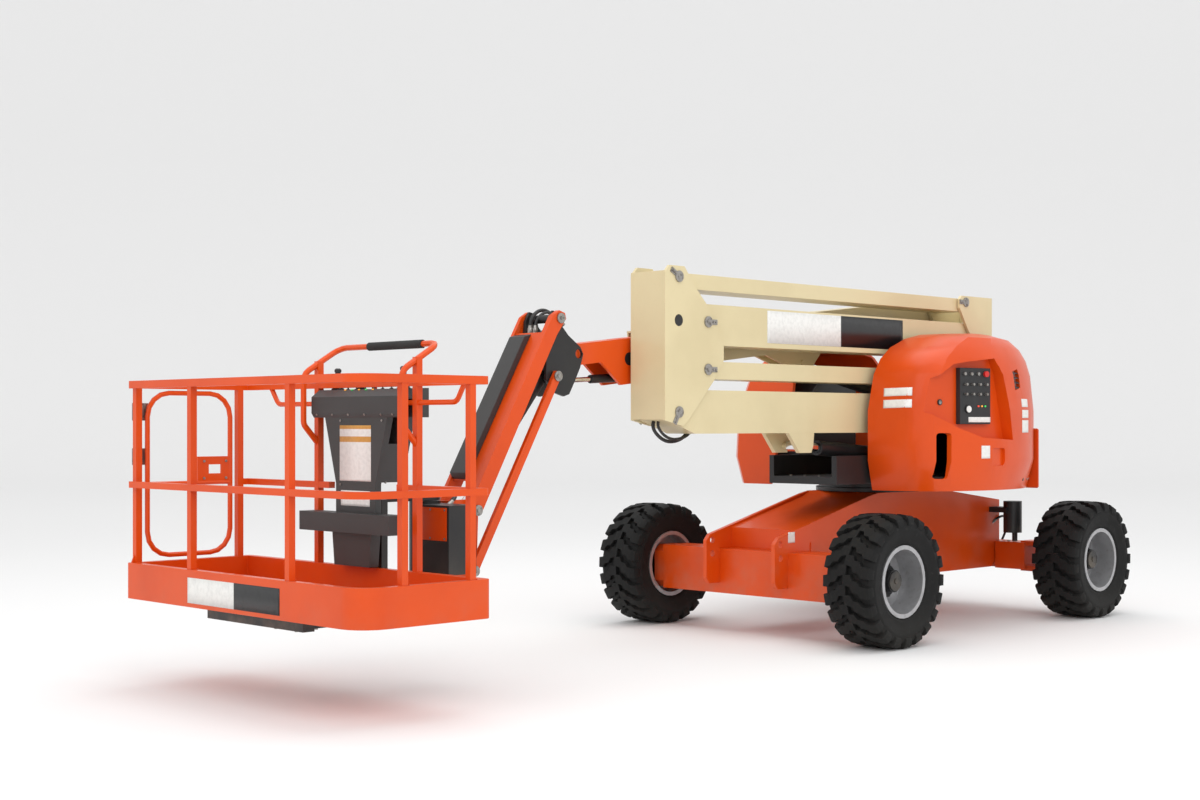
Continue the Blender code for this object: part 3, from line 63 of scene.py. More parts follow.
class Wire:
    def __init__(self, tree, socket):
        self.tree = tree
        self.socket = socket

    def maths(self, operation, first, second):
        node = self.tree.nodes.new("ShaderNodeMath")
        node.operation = operation
        plug(self.tree, node.inputs[0], first)
        plug(self.tree, node.inputs[1], second)
        return Wire(self.tree, node.outputs[0])

    def __add__(self, other):
        return self.maths("ADD", self, other)

    def __radd__(self, other):
        return self.maths("ADD", other, self)

    def __sub__(self, other):
        return self.maths("SUBTRACT", self, other)

    def __rsub__(self, other):
        return self.maths("SUBTRACT", other, self)

    def __mul__(self, other):
        return self.maths("MULTIPLY", self, other)

    def __rmul__(self, other):
        return self.maths("MULTIPLY", other, self)

    def __truediv__(self, other):
        return self.maths("DIVIDE", self, other)

    def __pow__(self, other):
        return self.maths("POWER", self, other)


shaderLabels = {"colour": "Base Color", "rough": "Roughness", "metal": "Metallic", "normal": "Normal",
                "coat": "Coat Weight", "coatRough": "Coat Roughness", "glow": "Emission Color",
                "glowStrength": "Emission Strength", "shine": "Specular IOR Level"}


class Finish:
    # one material, and short ways to add nodes to it

    def __init__(self, name):
        self.material = bpy.data.materials.new(name)
        self.material.use_nodes = True
        self.tree = self.material.node_tree
        self.shader = self.tree.nodes["Principled BSDF"]
        self.place = self.add("ShaderNodeTexCoord", output="Object")

    def add(self, kind, settings=None, sockets=None, output=0):
        node = self.tree.nodes.new(kind)
        for key, value in (settings or {}).items():
            setattr(node, key, value)
        for key, value in (sockets or {}).items():
            plug(self.tree, node.inputs[key], value)
        return Wire(self.tree, node.outputs[output])

    def cloud(self, scale, detail=3.0, stretch=None, roughness=0.55):
        place = self.place
        if stretch:
            place = self.add("ShaderNodeMapping", None, {"Vector": place, "Scale": stretch})
        return self.add("ShaderNodeTexNoise", None, {"Vector": place, "Scale": scale, "Detail": detail,
                                                     "Roughness": roughness})

    def band(self, value, low, high):
        return self.add("ShaderNodeMapRange", {"interpolation_type": "SMOOTHSTEP"},
                        {"Value": value, "From Min": low, "From Max": high})

    def blend(self, share, first, second):
        return self.add("ShaderNodeMix", {"data_type": "RGBA"}, {0: share, 6: first, 7: second}, 2)

    def axis(self, letter):
        return self.add("ShaderNodeSeparateXYZ", None, {"Vector": self.place}, letter)

    def bump(self, height, strength, distance):
        sockets = {"Height": height, "Strength": strength, "Distance": distance}
        return self.add("ShaderNodeBump", None, sockets)

    def set(self, **values):
        for key, value in values.items():
            plug(self.tree, self.shader.inputs[shaderLabels[key]], value)
        return self.material


# ---------- finishes
def coatedPaint(name, look):
    # sprayed and baked paint: cloudy tone, orange peel, fine rubbed scratches, dust that settles low down
    finish = Finish(name)
    patch = finish.band(finish.cloud(1.7, 4.0), 0.35, 0.72)
    speck = finish.band(finish.cloud(55.0, 3.0), 0.60, 0.74)
    scratch = finish.band(finish.cloud(9.0, 6.0, (1.0, 7.0, 22.0), 0.7), 0.66, 0.74)
    height = finish.axis("Z")
    low = 1.0 - finish.band(height, 0.15, look["dustTop"])
    dust = low * finish.band(finish.cloud(6.0, 5.0), 0.35, 0.75)
    tone = finish.blend(patch * look["toneShift"], look["colour"], look["deep"])
    tone = finish.blend(speck * look["speck"], tone, look["deep"])
    tone = finish.blend(scratch * look["scratch"], tone, look["worn"])
    tone = finish.blend(dust * look["dust"], tone, (0.30, 0.25, 0.19))
    rough = look["rough"] + patch * 0.07 + scratch * 0.10 + dust * 0.25
    peel = finish.cloud(look["peelScale"], 2.0)
    return finish.set(colour=tone, rough=rough, normal=finish.bump(peel, look["peel"], 0.0006),
                      coat=look["coat"], coatRough=0.12, metal=0.0, shine=0.3)


def castFinish(name, look):
    finish = Finish(name)
    pit = finish.cloud(70.0, 5.0, None, 0.65)
    patch = finish.band(finish.cloud(2.2, 4.0), 0.35, 0.7)
    tone = finish.blend(patch * 0.5, look["colour"], look["deep"])
    tone = finish.blend(finish.band(pit, 0.62, 0.75) * 0.35, tone, look["deep"])
    return finish.set(colour=tone, rough=0.42 + patch * 0.12, normal=finish.bump(pit, 0.35, 0.0016))


def rubberFinish(name):
    # tyre rubber: matte, mould grain, pale dust in the hollows
    finish = Finish(name)
    grain = finish.cloud(160.0, 4.0, None, 0.7)
    patch = finish.band(finish.cloud(7.0, 5.0), 0.42, 0.72)
    scuff = finish.band(finish.cloud(26.0, 6.0, (1.0, 2.5, 1.0)), 0.58, 0.72)
    low = 1.0 - finish.band(finish.axis("Z"), 0.0, 0.35)
    tone = finish.blend(patch * 0.55, (0.006, 0.006, 0.006), (0.013, 0.013, 0.012))
    tone = finish.blend(scuff * 0.18, tone, (0.060, 0.056, 0.050))
    tone = finish.blend(low * 0.15, tone, (0.075, 0.070, 0.060))
    return finish.set(shine=0.25, colour=tone, rough=0.68 + patch * 0.16,
                      normal=finish.bump(grain, 0.35, 0.0012))


def rimFinish(name, centreX, hubRadius):
    # silver dish with a black hub, told apart by distance from the wheel's axis
    finish = Finish(name)
    across, up = finish.axis("X") - centreX, finish.axis("Z") - rims["axleZ"]
    radius = (across * across + up * up) ** 0.5
    hub = 1.0 - finish.band(radius, hubRadius - 0.001, hubRadius + 0.001)
    patch = finish.band(finish.cloud(14.0, 5.0), 0.4, 0.7)
    grime = finish.band(finish.cloud(30.0, 5.0), 0.55, 0.75)
    silver = finish.blend(patch * 0.5, (0.42, 0.42, 0.43), (0.30, 0.30, 0.31))
    silver = finish.blend(grime * 0.35, silver, (0.20, 0.17, 0.14))
    tone = finish.blend(hub, silver, (0.014, 0.014, 0.015))
    peel = finish.cloud(420.0, 2.0)
    return finish.set(colour=tone, metal=0.55 - hub * 0.5, rough=0.34 + patch * 0.12 + hub * 0.05,
                      normal=finish.bump(peel, 0.2, 0.0005))


def chromeFinish(name):
    finish = Finish(name)
    draw = finish.cloud(18.0, 4.0, (1.0, 1.0, 1.0))
    film = finish.band(finish.cloud(5.0, 4.0), 0.5, 0.75)
    return finish.set(colour=finish.blend(film * 0.4, (0.74, 0.74, 0.75), (0.50, 0.47, 0.42)), metal=1.0,
                      rough=0.08 + draw * 0.12 + film * 0.12)


def zincFinish(name):
    # plated pins and bolts
    finish = Finish(name)
    flake = finish.add("ShaderNodeTexVoronoi", None, {"Vector": finish.place, "Scale": 260.0})
    grime = finish.band(finish.cloud(40.0, 4.0), 0.45, 0.7)
    tone = finish.blend(flake * 0.8, (0.42, 0.40, 0.37), (0.27, 0.26, 0.25))
    tone = finish.blend(grime * 0.7, tone, (0.07, 0.055, 0.04))
    return finish.set(colour=tone, metal=0.85 - grime * 0.5, rough=0.36 + grime * 0.3,
                      normal=finish.bump(grime, 0.3, 0.0006))


def mouldedFinish(name, colour, worn, rough):
    # textured moulded plastic
    finish = Finish(name)
    leather = finish.add("ShaderNodeTexVoronoi", {"feature": "SMOOTH_F1"},
                         {"Vector": finish.place, "Scale": 420.0})
    patch = finish.band(finish.cloud(5.0, 4.0), 0.4, 0.75)
    rub = finish.band(finish.cloud(12.0, 6.0, (1.0, 5.0, 9.0)), 0.62, 0.74)
    tone = finish.blend(patch * 0.5 + rub * 0.25, colour, worn)
    return finish.set(colour=tone, rough=rough + patch * 0.12, normal=finish.bump(leather, 0.4, 0.0005))


def plainFinish(name, colour, rough, glow=None):
    # small lamps, labels and caps: a little grain and fading so that none is one flat colour
    finish = Finish(name)
    fade = finish.band(finish.cloud(45.0, 4.0), 0.35, 0.75)
    dull = tuple(part * 0.80 for part in colour)
    extra = {"glow": glow, "glowStrength": 0.5} if glow else {}
    return finish.set(colour=finish.blend(fade * 0.6, colour, dull), rough=rough + fade * 0.1, **extra)


def hoseFinish(name):
    finish = Finish(name)
    weave = finish.add("ShaderNodeTexWave", {"wave_type": "BANDS", "bands_direction": "DIAGONAL"},
                       {"Vector": finish.place, "Scale": 140.0, "Distortion": 1.0})
    patch = finish.band(finish.cloud(20.0, 4.0), 0.4, 0.7)
    return finish.set(colour=finish.blend(patch, (0.012, 0.012, 0.013), (0.035, 0.034, 0.033)),
                      rough=0.46 + patch * 0.15, normal=finish.bump(weave, 0.25, 0.0006))


orangeLook = {"colour": (0.70, 0.072, 0.002), "deep": (0.54, 0.046, 0.001), "worn": (0.74, 0.15, 0.03),
              "toneShift": 0.45, "speck": 0.10, "scratch": 0.16, "dust": 0.25, "dustTop": 0.75,
              "rough": 0.33, "peel": 0.16, "peelScale": 300.0, "coat": 0.15}
creamLook = {"colour": (0.69, 0.59, 0.355), "deep": (0.59, 0.495, 0.285), "worn": (0.44, 0.39, 0.30),
             "toneShift": 0.55, "speck": 0.22, "scratch": 0.28, "dust": 0.2, "dustTop": 0.6,
             "rough": 0.36, "peel": 0.18, "peelScale": 260.0, "coat": 0.25}
blackLook = {"colour": (0.016, 0.016, 0.017), "deep": (0.030, 0.029, 0.027), "worn": (0.085, 0.082, 0.075),
             "toneShift": 0.6, "speck": 0.25, "scratch": 0.35, "dust": 0.5, "dustTop": 0.8,
             "rough": 0.38, "peel": 0.25, "peelScale": 220.0, "coat": 0.15}

orange = coatedPaint("orangePaint", orangeLook)
cream = coatedPaint("creamPaint", creamLook)
black = coatedPaint("blackPaint", blackLook)
cast = castFinish("castWeight", {"colour": (0.68, 0.070, 0.002), "deep": (0.50, 0.044, 0.001)})
rubber = rubberFinish("tyreRubber")
rims = {"axleX": 1.215, "axleZ": 0.42, "hub": 0.128}
rimFront = rimFinish("rimSilverFront", rims["axleX"] + swingAxisX, rims["hub"])
rimRear = rimFinish("rimSilverRear", -rims["axleX"] + swingAxisX, rims["hub"])
chrome = chromeFinish("ramChrome")
zinc = zincFinish("platedPins")
greyPlastic = mouldedFinish("greyPlastic", (0.034, 0.034, 0.034), (0.060, 0.060, 0.060), 0.46)
darkPlastic = mouldedFinish("darkPlastic", (0.014, 0.014, 0.015), (0.030, 0.030, 0.031), 0.42)
hoseBlack = hoseFinish("hoseRubber")
foam = mouldedFinish("gripFoam", (0.020, 0.020, 0.020), (0.045, 0.044, 0.043), 0.85)
whiteLabel = plainFinish("labelWhite", (0.80, 0.79, 0.76), 0.38)
# black for print and small black parts, also the painted shade inside two round holes
blackLabelAndHoleShade = plainFinish("labelBlack", (0.012, 0.012, 0.013), 0.30)
ochreLabel = plainFinish("labelOchre", (0.62, 0.30, 0.06), 0.4)
redCap = plainFinish("redCap", (0.62, 0.02, 0.015), 0.3)
redLamp = plainFinish("redLamp", (0.75, 0.06, 0.03), 0.25, (0.9, 0.08, 0.03, 1.0))
amberLamp = plainFinish("amberLamp", (0.85, 0.36, 0.05), 0.25, (0.9, 0.40, 0.05, 1.0))
greenLamp = plainFinish("greenLamp", (0.05, 0.50, 0.12), 0.25, (0.05, 0.6, 0.12, 1.0))
print("finishes made")


# ---------- making pieces
def asObject(name, builder, finishes, smoothAngle=35.0):
    mesh = bpy.data.meshes.new(name)
    builder.to_mesh(mesh)
    builder.free()
    for finish in finishes:
        mesh.materials.append(finish)
    thing = bpy.data.objects.new(name, mesh)
    bpy.context.scene.collection.objects.link(thing)
    smooth(thing, smoothAngle)
    return thing


def smooth(thing, angle=35.0):
    thing.data.shade_smooth()
    thing.data.set_sharp_from_angle(angle=math.radians(angle))


def flatten(thing):
    # the modifiers' result becomes the mesh
    bpy.context.view_layer.update()
    graph = bpy.context.evaluated_depsgraph_get()
    mesh = bpy.data.meshes.new_from_object(thing.evaluated_get(graph))
    thing.modifiers.clear()
    thing.data = mesh
    return thing


def rideOn(thing, body, nodes=()):
    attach(thing, body)
    if nodes:
        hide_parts(*nodes)
    return thing


def turnTo(direction):
    return Vector((0, 0, 1)).rotation_difference(Vector(direction)).to_matrix().to_4x4()


def band(builder, ring, following):
    # one strip of faces between two rings
    for index in range(len(ring)):
        after = (index + 1) % len(ring)
        builder.faces.new((ring[index], ring[after], following[after], following[index]))


def skin(builder, rings):
    # a closed skin over a row of rings, with both ends capped
    builder.faces.new(rings[0][::-1])
    builder.faces.new(rings[-1])
    for ring, following in zip(rings, rings[1:]):
        band(builder, ring, following)


def addDisc(builder, centre, direction, radius, height, sides=20, edge=0.15):
    # a round boss with a chamfered face, standing on a surface
    place = Matrix.Translation(centre) @ turnTo(direction)
    rings = []
    for share, lift in ((1.0, -0.002), (1.0, height * (1 - edge)), (1 - edge, height)):
        ring = []
        for step in range(sides):
            angle = 2 * math.pi * step / sides
            ring.append(builder.verts.new(place @ Vector((radius * share * math.cos(angle),
                                                          radius * share * math.sin(angle), lift))))
        rings.append(ring)
    skin(builder, rings)


def addBlock(builder, low, high, place=None, bevel=0.0):
    # one bevelled block, alone in its builder
    low, high = Vector(low), Vector(high)
    for vert in bmesh.ops.create_cube(builder, size=1.0)["verts"]:
        vert.co = (low + high) / 2 + Vector(tuple(a * b for a, b in zip(vert.co, high - low)))
    if bevel:
        bmesh.ops.bevel(builder, geom=builder.edges[:], offset=bevel, segments=2, affect="EDGES", profile=0.6)
    if place:
        bmesh.ops.transform(builder, matrix=place, verts=builder.verts)


def tube(name, points, radius, finish, sides=10, rounds=3):
    # a hose or bar along a smooth route, with closed ends
    line = [Vector(point) for point in points]
    for _ in range(rounds):  # corner cutting keeps both ends
        cutLine = [line[0]]
        for first, second in zip(line, line[1:]):
            cutLine += [first.lerp(second, 0.25), first.lerp(second, 0.75)]
        line = cutLine + [line[-1]]
    builder = bmesh.new()
    side, rings = None, []
    for index, point in enumerate(line):
        ahead = (line[min(index + 1, len(line) - 1)] - line[max(index - 1, 0)]).normalized()
        if side is None:
            side = ahead.cross(Vector((0, 0, 1)) if abs(ahead.z) < 0.9 else Vector((0, 1, 0)))
        side = (side - ahead * side.dot(ahead)).normalized()
        other = ahead.cross(side)
        rings.append([builder.verts.new(point + (side * math.cos(2 * math.pi * step / sides)
                                                 + other * math.sin(2 * math.pi * step / sides)) * radius)
                      for step in range(sides)])
    skin(builder, rings)
    bmesh.ops.recalc_face_normals(builder, faces=builder.faces)
    return asObject(name, builder, [finish])


def join(name, things):
    # several meshes with their own finishes as one piece
    builder = bmesh.new()
    finishes = []
    for thing in things:
        mesh = thing.data
        table = []
        for finish in mesh.materials:
            if finish not in finishes:
                finishes.append(finish)
            table.append(finishes.index(finish))
        before = len(builder.faces)
        builder.from_mesh(mesh)
        builder.faces.ensure_lookup_table()
        for face in builder.faces[before:]:
            face.material_index = table[face.material_index] if table else 0
        bpy.data.objects.remove(thing, do_unlink=True)
    return asObject(name, builder, finishes)


# ---------- geometry trees
def makeTree(name, inputs):
    tree = bpy.data.node_groups.new(name, "GeometryNodeTree")
    tree.interface.new_socket("Geometry", in_out="INPUT", socket_type="NodeSocketGeometry")
    for label, kind, value in inputs:
        socket = tree.interface.new_socket(label, in_out="INPUT", socket_type=kind)
        if value is not None:
            socket.default_value = value
    tree.interface.new_socket("Geometry", in_out="OUTPUT", socket_type="NodeSocketGeometry")
    return tree, tree.nodes.new("NodeGroupInput"), tree.nodes.new("NodeGroupOutput")


def grow(thing, tree, values):
    modifier = thing.modifiers.new(tree.name, "NODES")
    modifier.node_group = tree
    for item in tree.interface.items_tree:
        if item.item_type == "SOCKET" and item.in_out == "INPUT" and item.name in values:
            modifier[item.identifier] = values[item.name]
    return flatten(thing)


def settle(tree, entry, copies, leave):
    # the copies become real mesh in their finish
    real, dress = (tree.nodes.new(f"GeometryNode{kind}") for kind in ("RealizeInstances", "SetMaterial"))
    tree.links.new(copies.outputs[0], real.inputs[0])
    tree.links.new(real.outputs[0], dress.inputs["Geometry"])
    tree.links.new(entry.outputs["Finish"], dress.inputs["Material"])
    tree.links.new(dress.outputs[0], leave.inputs[0])
    return tree


def makeRingTree():
    # copies the given shape round the Y axis of a centre
    tree, entry, leave = makeTree("ringOfCopies", [
        ("Count", "NodeSocketInt", 12), ("Centre", "NodeSocketVector", None), ("Start", "NodeSocketFloat", 0.0),
        ("Axis", "NodeSocketVector", None), ("Finish", "NodeSocketMaterial", None)])
    link, new = tree.links.new, tree.nodes.new
    points = new("GeometryNodePoints")
    link(entry.outputs["Count"], points.inputs["Count"])
    link(entry.outputs["Centre"], points.inputs["Position"])
    index, share, turn = new("GeometryNodeInputIndex"), new("ShaderNodeMath"), new("ShaderNodeMath")
    share.operation = "DIVIDE"
    link(index.outputs[0], share.inputs[0])
    link(entry.outputs["Count"], share.inputs[1])
    turn.operation = "MULTIPLY_ADD"
    link(share.outputs[0], turn.inputs[0])
    turn.inputs[1].default_value = 2 * math.pi
    link(entry.outputs["Start"], turn.inputs[2])
    rotate = new("FunctionNodeAxisAngleToRotation")
    link(entry.outputs["Axis"], rotate.inputs["Axis"])
    link(turn.outputs[0], rotate.inputs["Angle"])
    copies = new("GeometryNodeInstanceOnPoints")
    link(points.outputs[0], copies.inputs["Points"])
    link(entry.outputs["Geometry"], copies.inputs["Instance"])
    link(rotate.outputs[0], copies.inputs["Rotation"])
    return settle(tree, entry, copies, leave)


def makeStudTree():
    # a short many-sided stud at each vertex, standing along that vertex's facing
    tree, entry, leave = makeTree("studs", [
        ("Sides", "NodeSocketInt", 6), ("Radius", "NodeSocketFloat", 0.01), ("Height", "NodeSocketFloat", 0.01),
        ("Finish", "NodeSocketMaterial", None)])
    link, new = tree.links.new, tree.nodes.new
    stud = new("GeometryNodeMeshCylinder")
    link(entry.outputs["Sides"], stud.inputs["Vertices"])
    link(entry.outputs["Radius"], stud.inputs["Radius"])
    link(entry.outputs["Height"], stud.inputs["Depth"])
    facing, aim = new("GeometryNodeInputNamedAttribute"), new("FunctionNodeAlignRotationToVector")
    facing.data_type = "FLOAT_VECTOR"
    facing.inputs["Name"].default_value = "facing"
    aim.axis = "Z"
    link(facing.outputs["Attribute"], aim.inputs["Vector"])
    copies = new("GeometryNodeInstanceOnPoints")
    link(entry.outputs["Geometry"], copies.inputs["Points"])
    link(stud.outputs["Mesh"], copies.inputs["Instance"])
    link(aim.outputs[0], copies.inputs["Rotation"])
    return settle(tree, entry, copies, leave)


ringTree = makeRingTree()
studTree = makeStudTree()


def ringOf(name, shape, count, centre, finish, start=0.0):
    shape.name = name
    thing = grow(shape, ringTree, {"Count": count, "Centre": tuple(centre), "Start": start,
                                   "Axis": (0.0, 1.0, 0.0), "Finish": finish})
    smooth(thing)
    return thing


def studs(name, spots, radius, height, finish, sides=6):
    # spots are (place, facing) pairs
    mesh = bpy.data.meshes.new(name)
    mesh.from_pydata([tuple(place) for place, _ in spots], [], [])
    layer = mesh.attributes.new("facing", "FLOAT_VECTOR", "POINT")
    for item, (_, facing) in zip(layer.data, spots):
        item.vector = Vector(facing)
    thing = bpy.data.objects.new(name, mesh)
    bpy.context.scene.collection.objects.link(thing)
    grow(thing, studTree, {"Sides": sides, "Radius": radius, "Height": height, "Finish": finish})
    for layer in [layer for layer in thing.data.attributes if layer.name == "facing"]:
        thing.data.attributes.remove(layer)
    smooth(thing)
    return thing


# ---------- carried-over CAD pieces, with their edges rounded
def camel(name):
    first, *rest = name.split("_")
    return first + "".join(word.capitalize() for word in rest)


def softened(nodeName, body, finish, width):
    mesh = cadNodes[nodeName].data.copy()
    builder = bmesh.new()
    builder.from_mesh(mesh)
    bmesh.ops.remove_doubles(builder, verts=builder.verts, dist=2e-5)
    bmesh.ops.dissolve_limit(builder, angle_limit=math.radians(0.4), verts=builder.verts, edges=builder.edges)
    builder.to_mesh(mesh)
    builder.free()
    mesh.materials.clear()
    mesh.materials.append(finish)
    thing = bpy.data.objects.new(camel(nodeName), mesh)
    bpy.context.scene.collection.objects.link(thing)
    mesh.shade_smooth()
    bevel = thing.modifiers.new("edge", "BEVEL")
    bevel.width, bevel.segments, bevel.limit_method = width, 2, "ANGLE"
    bevel.angle_limit = math.radians(33)
    bevel.miter_outer = "MITER_ARC"
    weigh = thing.modifiers.new("flats", "WEIGHTED_NORMAL")
    weigh.keep_sharp = True
    weigh.weight = 80
    flatten(thing)
    return rideOn(thing, body, [nodeName])


bodyOf = {nodeName: body for body, members in frame["record"]["behaviour"]["bodies"].items()
          for nodeName in members}
coats = [  # finish, slot, and how wide each piece's rounded edges are, in millimetres
    (orange, "orange_paint", {
        "chassis_frame": 5, "drive_axle": 6, "steer_axle": 6, "steer_knuckle_left": 4, "steer_knuckle_right": 4,
        "hood_left": 6, "hood_right": 6, "boom_fly": 3, "jib_arm": 3, "jib_link": 3, "platform_support": 2,
        "platform_floor": 4, "platform_rails": 3, "gate": 2}),
    (cream, "cream_paint", {
        "lower_arm": 7, "lower_link": 6, "mid_upright": 4, "upper_arm": 7, "upper_link": 6, "rear_upright": 3,
        "boom_base": 4}),
    (black, "black_paint", {
        "swing_bearing": 3, "lockout_cylinder_left": 5, "lockout_cylinder_right": 5, "steering_cylinder": 3,
        "turntable_frame": 4, "engine": 10, "tower_cylinder": 3, "boom_cylinder": 3, "level_cylinder": 2,
        "jib_cylinder": 2, "jib_knuckle": 3, "rotator": 4, "platform_mount": 3}),
    (cast, "cast_weight", {"counterweight": 12}),
    (greyPlastic, "grey_plastic", {"hose_cover": 4, "control_console": 8}),
    (darkPlastic, "grey_plastic", {"control_panel": 3}),
    (chrome, "ram_chrome", {"steering_rod": 1, "tower_rod": 1, "boom_rod": 1, "level_rod": 1, "jib_rod": 1}),
    (rimFront, "rim_silver", {"rim_front_left": 4, "rim_front_right": 4}),
    (rimRear, "rim_silver", {"rim_rear_left": 4, "rim_rear_right": 4}),
]
for finish, slot, widths in coats:
    for nodeName, width in widths.items():
        softened(nodeName, bodyOf[nodeName], finish, width / 1000)
print("frame pieces dressed")


# ---------- tyres
tyre = {"width": 0.36, "carcass": 0.392, "bead": 0.225, "lugs": 21, "lugHalfTurn": 4.9, "nuts": 9,
        "nutCircle": 0.112, "x": 1.215, "y": 0.985, "z": 0.42}


def tyreCarcass(centre):
    half = tyre["width"] / 2
    profile = [(tyre["bead"] - 0.010, -half * 0.70), (tyre["bead"] + 0.004, -half * 0.80),
               (tyre["bead"] + 0.020, -half * 0.86), (tyre["bead"] + 0.026, -half * 0.875),
               (tyre["bead"] + 0.034, -half * 0.87), (0.290, -half * 0.93), (0.325, -half * 0.955),
               (0.333, -half * 0.965), (0.341, -half * 0.95), (0.365, -half * 0.93), (0.380, -half * 0.88),
               (0.388, -half * 0.78), (tyre["carcass"], -half * 0.4), (tyre["carcass"] + 0.002, 0.0)]
    profile += [(radius, -along) for radius, along in profile[-2::-1]]
    profile += [(tyre["bead"] - 0.010, half * 0.4), (tyre["bead"] - 0.010, -half * 0.4)]
    builder = bmesh.new()
    rings = []
    for step in range(96):
        angle = 2 * math.pi * step / 96
        rings.append([builder.verts.new(centre + Vector((r * math.cos(angle), y, r * math.sin(angle))))
                      for r, y in profile])
    for index, ring in enumerate(rings):
        following = rings[(index + 1) % len(rings)]
        for spot in range(len(profile)):
            after = (spot + 1) % len(profile)
            builder.faces.new((ring[spot], following[spot], following[after], ring[after]))
    bmesh.ops.recalc_face_normals(builder, faces=builder.faces)
    return asObject("tyreCarcass", builder, [rubber], 50)


def tyreLug(side):
    # one bar from the middle of the tread, stepping round to the shoulder and down the sidewall
    # each stop: distance from the middle, degrees round the wheel, reach from the axle
    route = [(-0.010, 0.0, 0.420), (0.045, 1.0, 0.420), (0.062, 5.5, 0.420), (0.100, 6.5, 0.4195),
             (0.118, 10.0, 0.418), (0.152, 10.8, 0.4150), (0.170, 11.0, 0.404), (0.1765, 11.0, 0.385),
             (0.1785, 11.0, 0.362), (0.172, 11.0, 0.350)]
    builder = bmesh.new()
    sections = []
    for index, (along, turn, radius) in enumerate(route):
        wide = tyre["lugHalfTurn"] * (1.0 if 0 < index < len(route) - 2 else 0.86)
        root = min(radius - 0.012, 0.386) if index < 6 else radius - 0.02
        inward = 0.0 if index < 6 else -0.02
        section = []
        for angle, reach, push in ((-wide - 0.8, root, inward), (-wide, radius, 0.0), (wide, radius, 0.0),
                                   (wide + 0.8, root, inward)):
            spin = math.radians(turn + angle)
            place = (reach * math.sin(spin), side * (along + push), reach * math.cos(spin))
            section.append(builder.verts.new(place))
        sections.append(section)
    skin(builder, sections)
    bmesh.ops.recalc_face_normals(builder, faces=builder.faces)
    return asObject("tyreLug", builder, [rubber])


for end, x in (("Front", tyre["x"]), ("Rear", -tyre["x"])):
    for hand, side in (("Left", 1), ("Right", -1)):
        wheel = f"{end.lower()}_{hand.lower()}"
        centre = at(x, side * tyre["y"], tyre["z"])
        parts = [tyreCarcass(centre)]
        for lean, start in ((1, 0.0), (-1, math.pi / tyre["lugs"])):
            parts.append(ringOf("lugs", tyreLug(lean), tyre["lugs"], centre, rubber, start))
        rideOn(join(f"tyre{end}{hand}", parts), f"wheel_{wheel}", [f"tyre_{wheel}"])
        builder = bmesh.new()
        addDisc(builder, Vector((tyre["nutCircle"], side * -0.022, 0.0)), (0, side, 0), 0.0125, 0.022, 6)
        nuts = ringOf(f"wheelNuts{end}{hand}", asObject("nut", builder, [black]), tyre["nuts"], centre, black)
        rideOn(nuts, f"wheel_{wheel}")
        builder = bmesh.new()  # hub cap and its centre bolt
        for out, radius, height, sides in ((0.078, 0.062, 0.012, 24), (0.089, 0.020, 0.008, 6)):
            addDisc(builder, at(x, side * (tyre["y"] + out), tyre["z"]), (0, side, 0), radius, height, sides)
        rideOn(asObject(f"hubCap{end}{hand}", builder, [black]), f"wheel_{wheel}")
print("tyres treaded")


# ---------- labels and signs laid on a surface
def surfaceOf(nodeName):
    builder = bmesh.new()
    builder.from_mesh(cadNodes[nodeName].data)
    tree = BVHTree.FromBMesh(builder)
    builder.free()
    return tree


def sticker(name, nodeName, centre, facing, size, finishes=None, choose=None, grid=(12, 6)):
    # a thin sheet that follows the surface it is pressed on; choose picks the finish by place on the sheet
    surface = surfaceOf(nodeName)
    (wide, tall), (across, up) = size, grid
    finishes = finishes or [whiteLabel]
    facing = Vector(facing).normalized()
    upward = (Vector((0, 0, 1)) - facing * facing.z).normalized()
    sideways = upward.cross(facing)
    builder = bmesh.new()
    rows = []
    for row in range(up + 1):
        line = []
        for column in range(across + 1):
            u, v = column / across, row / up
            start = centre + sideways * wide * (u - 0.5) + upward * tall * (v - 0.5) + facing * 0.15
            spot, normal, _, _ = surface.ray_cast(start, -facing, 0.4)
            if spot is None:
                spot, normal = start - facing * 0.15, facing
            line.append(builder.verts.new(spot + facing * 0.0012))
        rows.append(line)
    for row in range(up):
        for column in range(across):
            face = builder.faces.new((rows[row][column], rows[row][column + 1], rows[row + 1][column + 1],
                                      rows[row + 1][column]))
            face.material_index = choose((column + 0.5) / across, (row + 0.5) / up) if choose else 0
    thing = asObject(name, builder, finishes)
    for face in thing.data.polygons:
        if face.normal.dot(facing) < 0:
            thing.data.flip_normals()
            break
    thick = thing.modifiers.new("film", "SOLIDIFY")
    thick.thickness, thick.offset = 0.0008, -1.0
    return rideOn(flatten(thing), bodyOf[nodeName])


def halfBlack(u, v):
    return 1 if u > 0.52 else 0


def ruledPlate(u, v):
    return 1 if v > 0.93 or 0.70 < v < 0.80 else 0


signPair = [whiteLabel, blackLabelAndHoleShade]
sticker("armSign", "upper_arm", at(0.965, 0.434, 2.015), (0, 1, 0), (1.46, 0.205), signPair, halfBlack, (50, 2))
sticker("platformSign", "platform_floor", at(5.36, 0.055, 0.552), (1, 0, 0), (0.83, 0.130), signPair, halfBlack,
        (50, 2))
sticker("consolePlate", "control_console", at(4.68, 0.128, 1.25), (1, 0, 0), (0.27, 0.29),
        [whiteLabel, ochreLabel], ruledPlate, (2, 30))
sticker("consoleSmallPlate", "control_console", at(4.68, 0.128, 1.015), (1, 0, 0), (0.25, 0.08))
sticker("chassisPlate", "chassis_frame", at(1.30, 0.31, 0.66), (0, 1, 0), (0.07, 0.07))
for index, z in enumerate((1.615, 1.535)):
    sticker(f"hoodPlateFront{index}", "hood_left", at(0.70, 0.72, z), (0.9, 0.45, 0.05), (0.20, 0.055),
            grid=(14, 4))
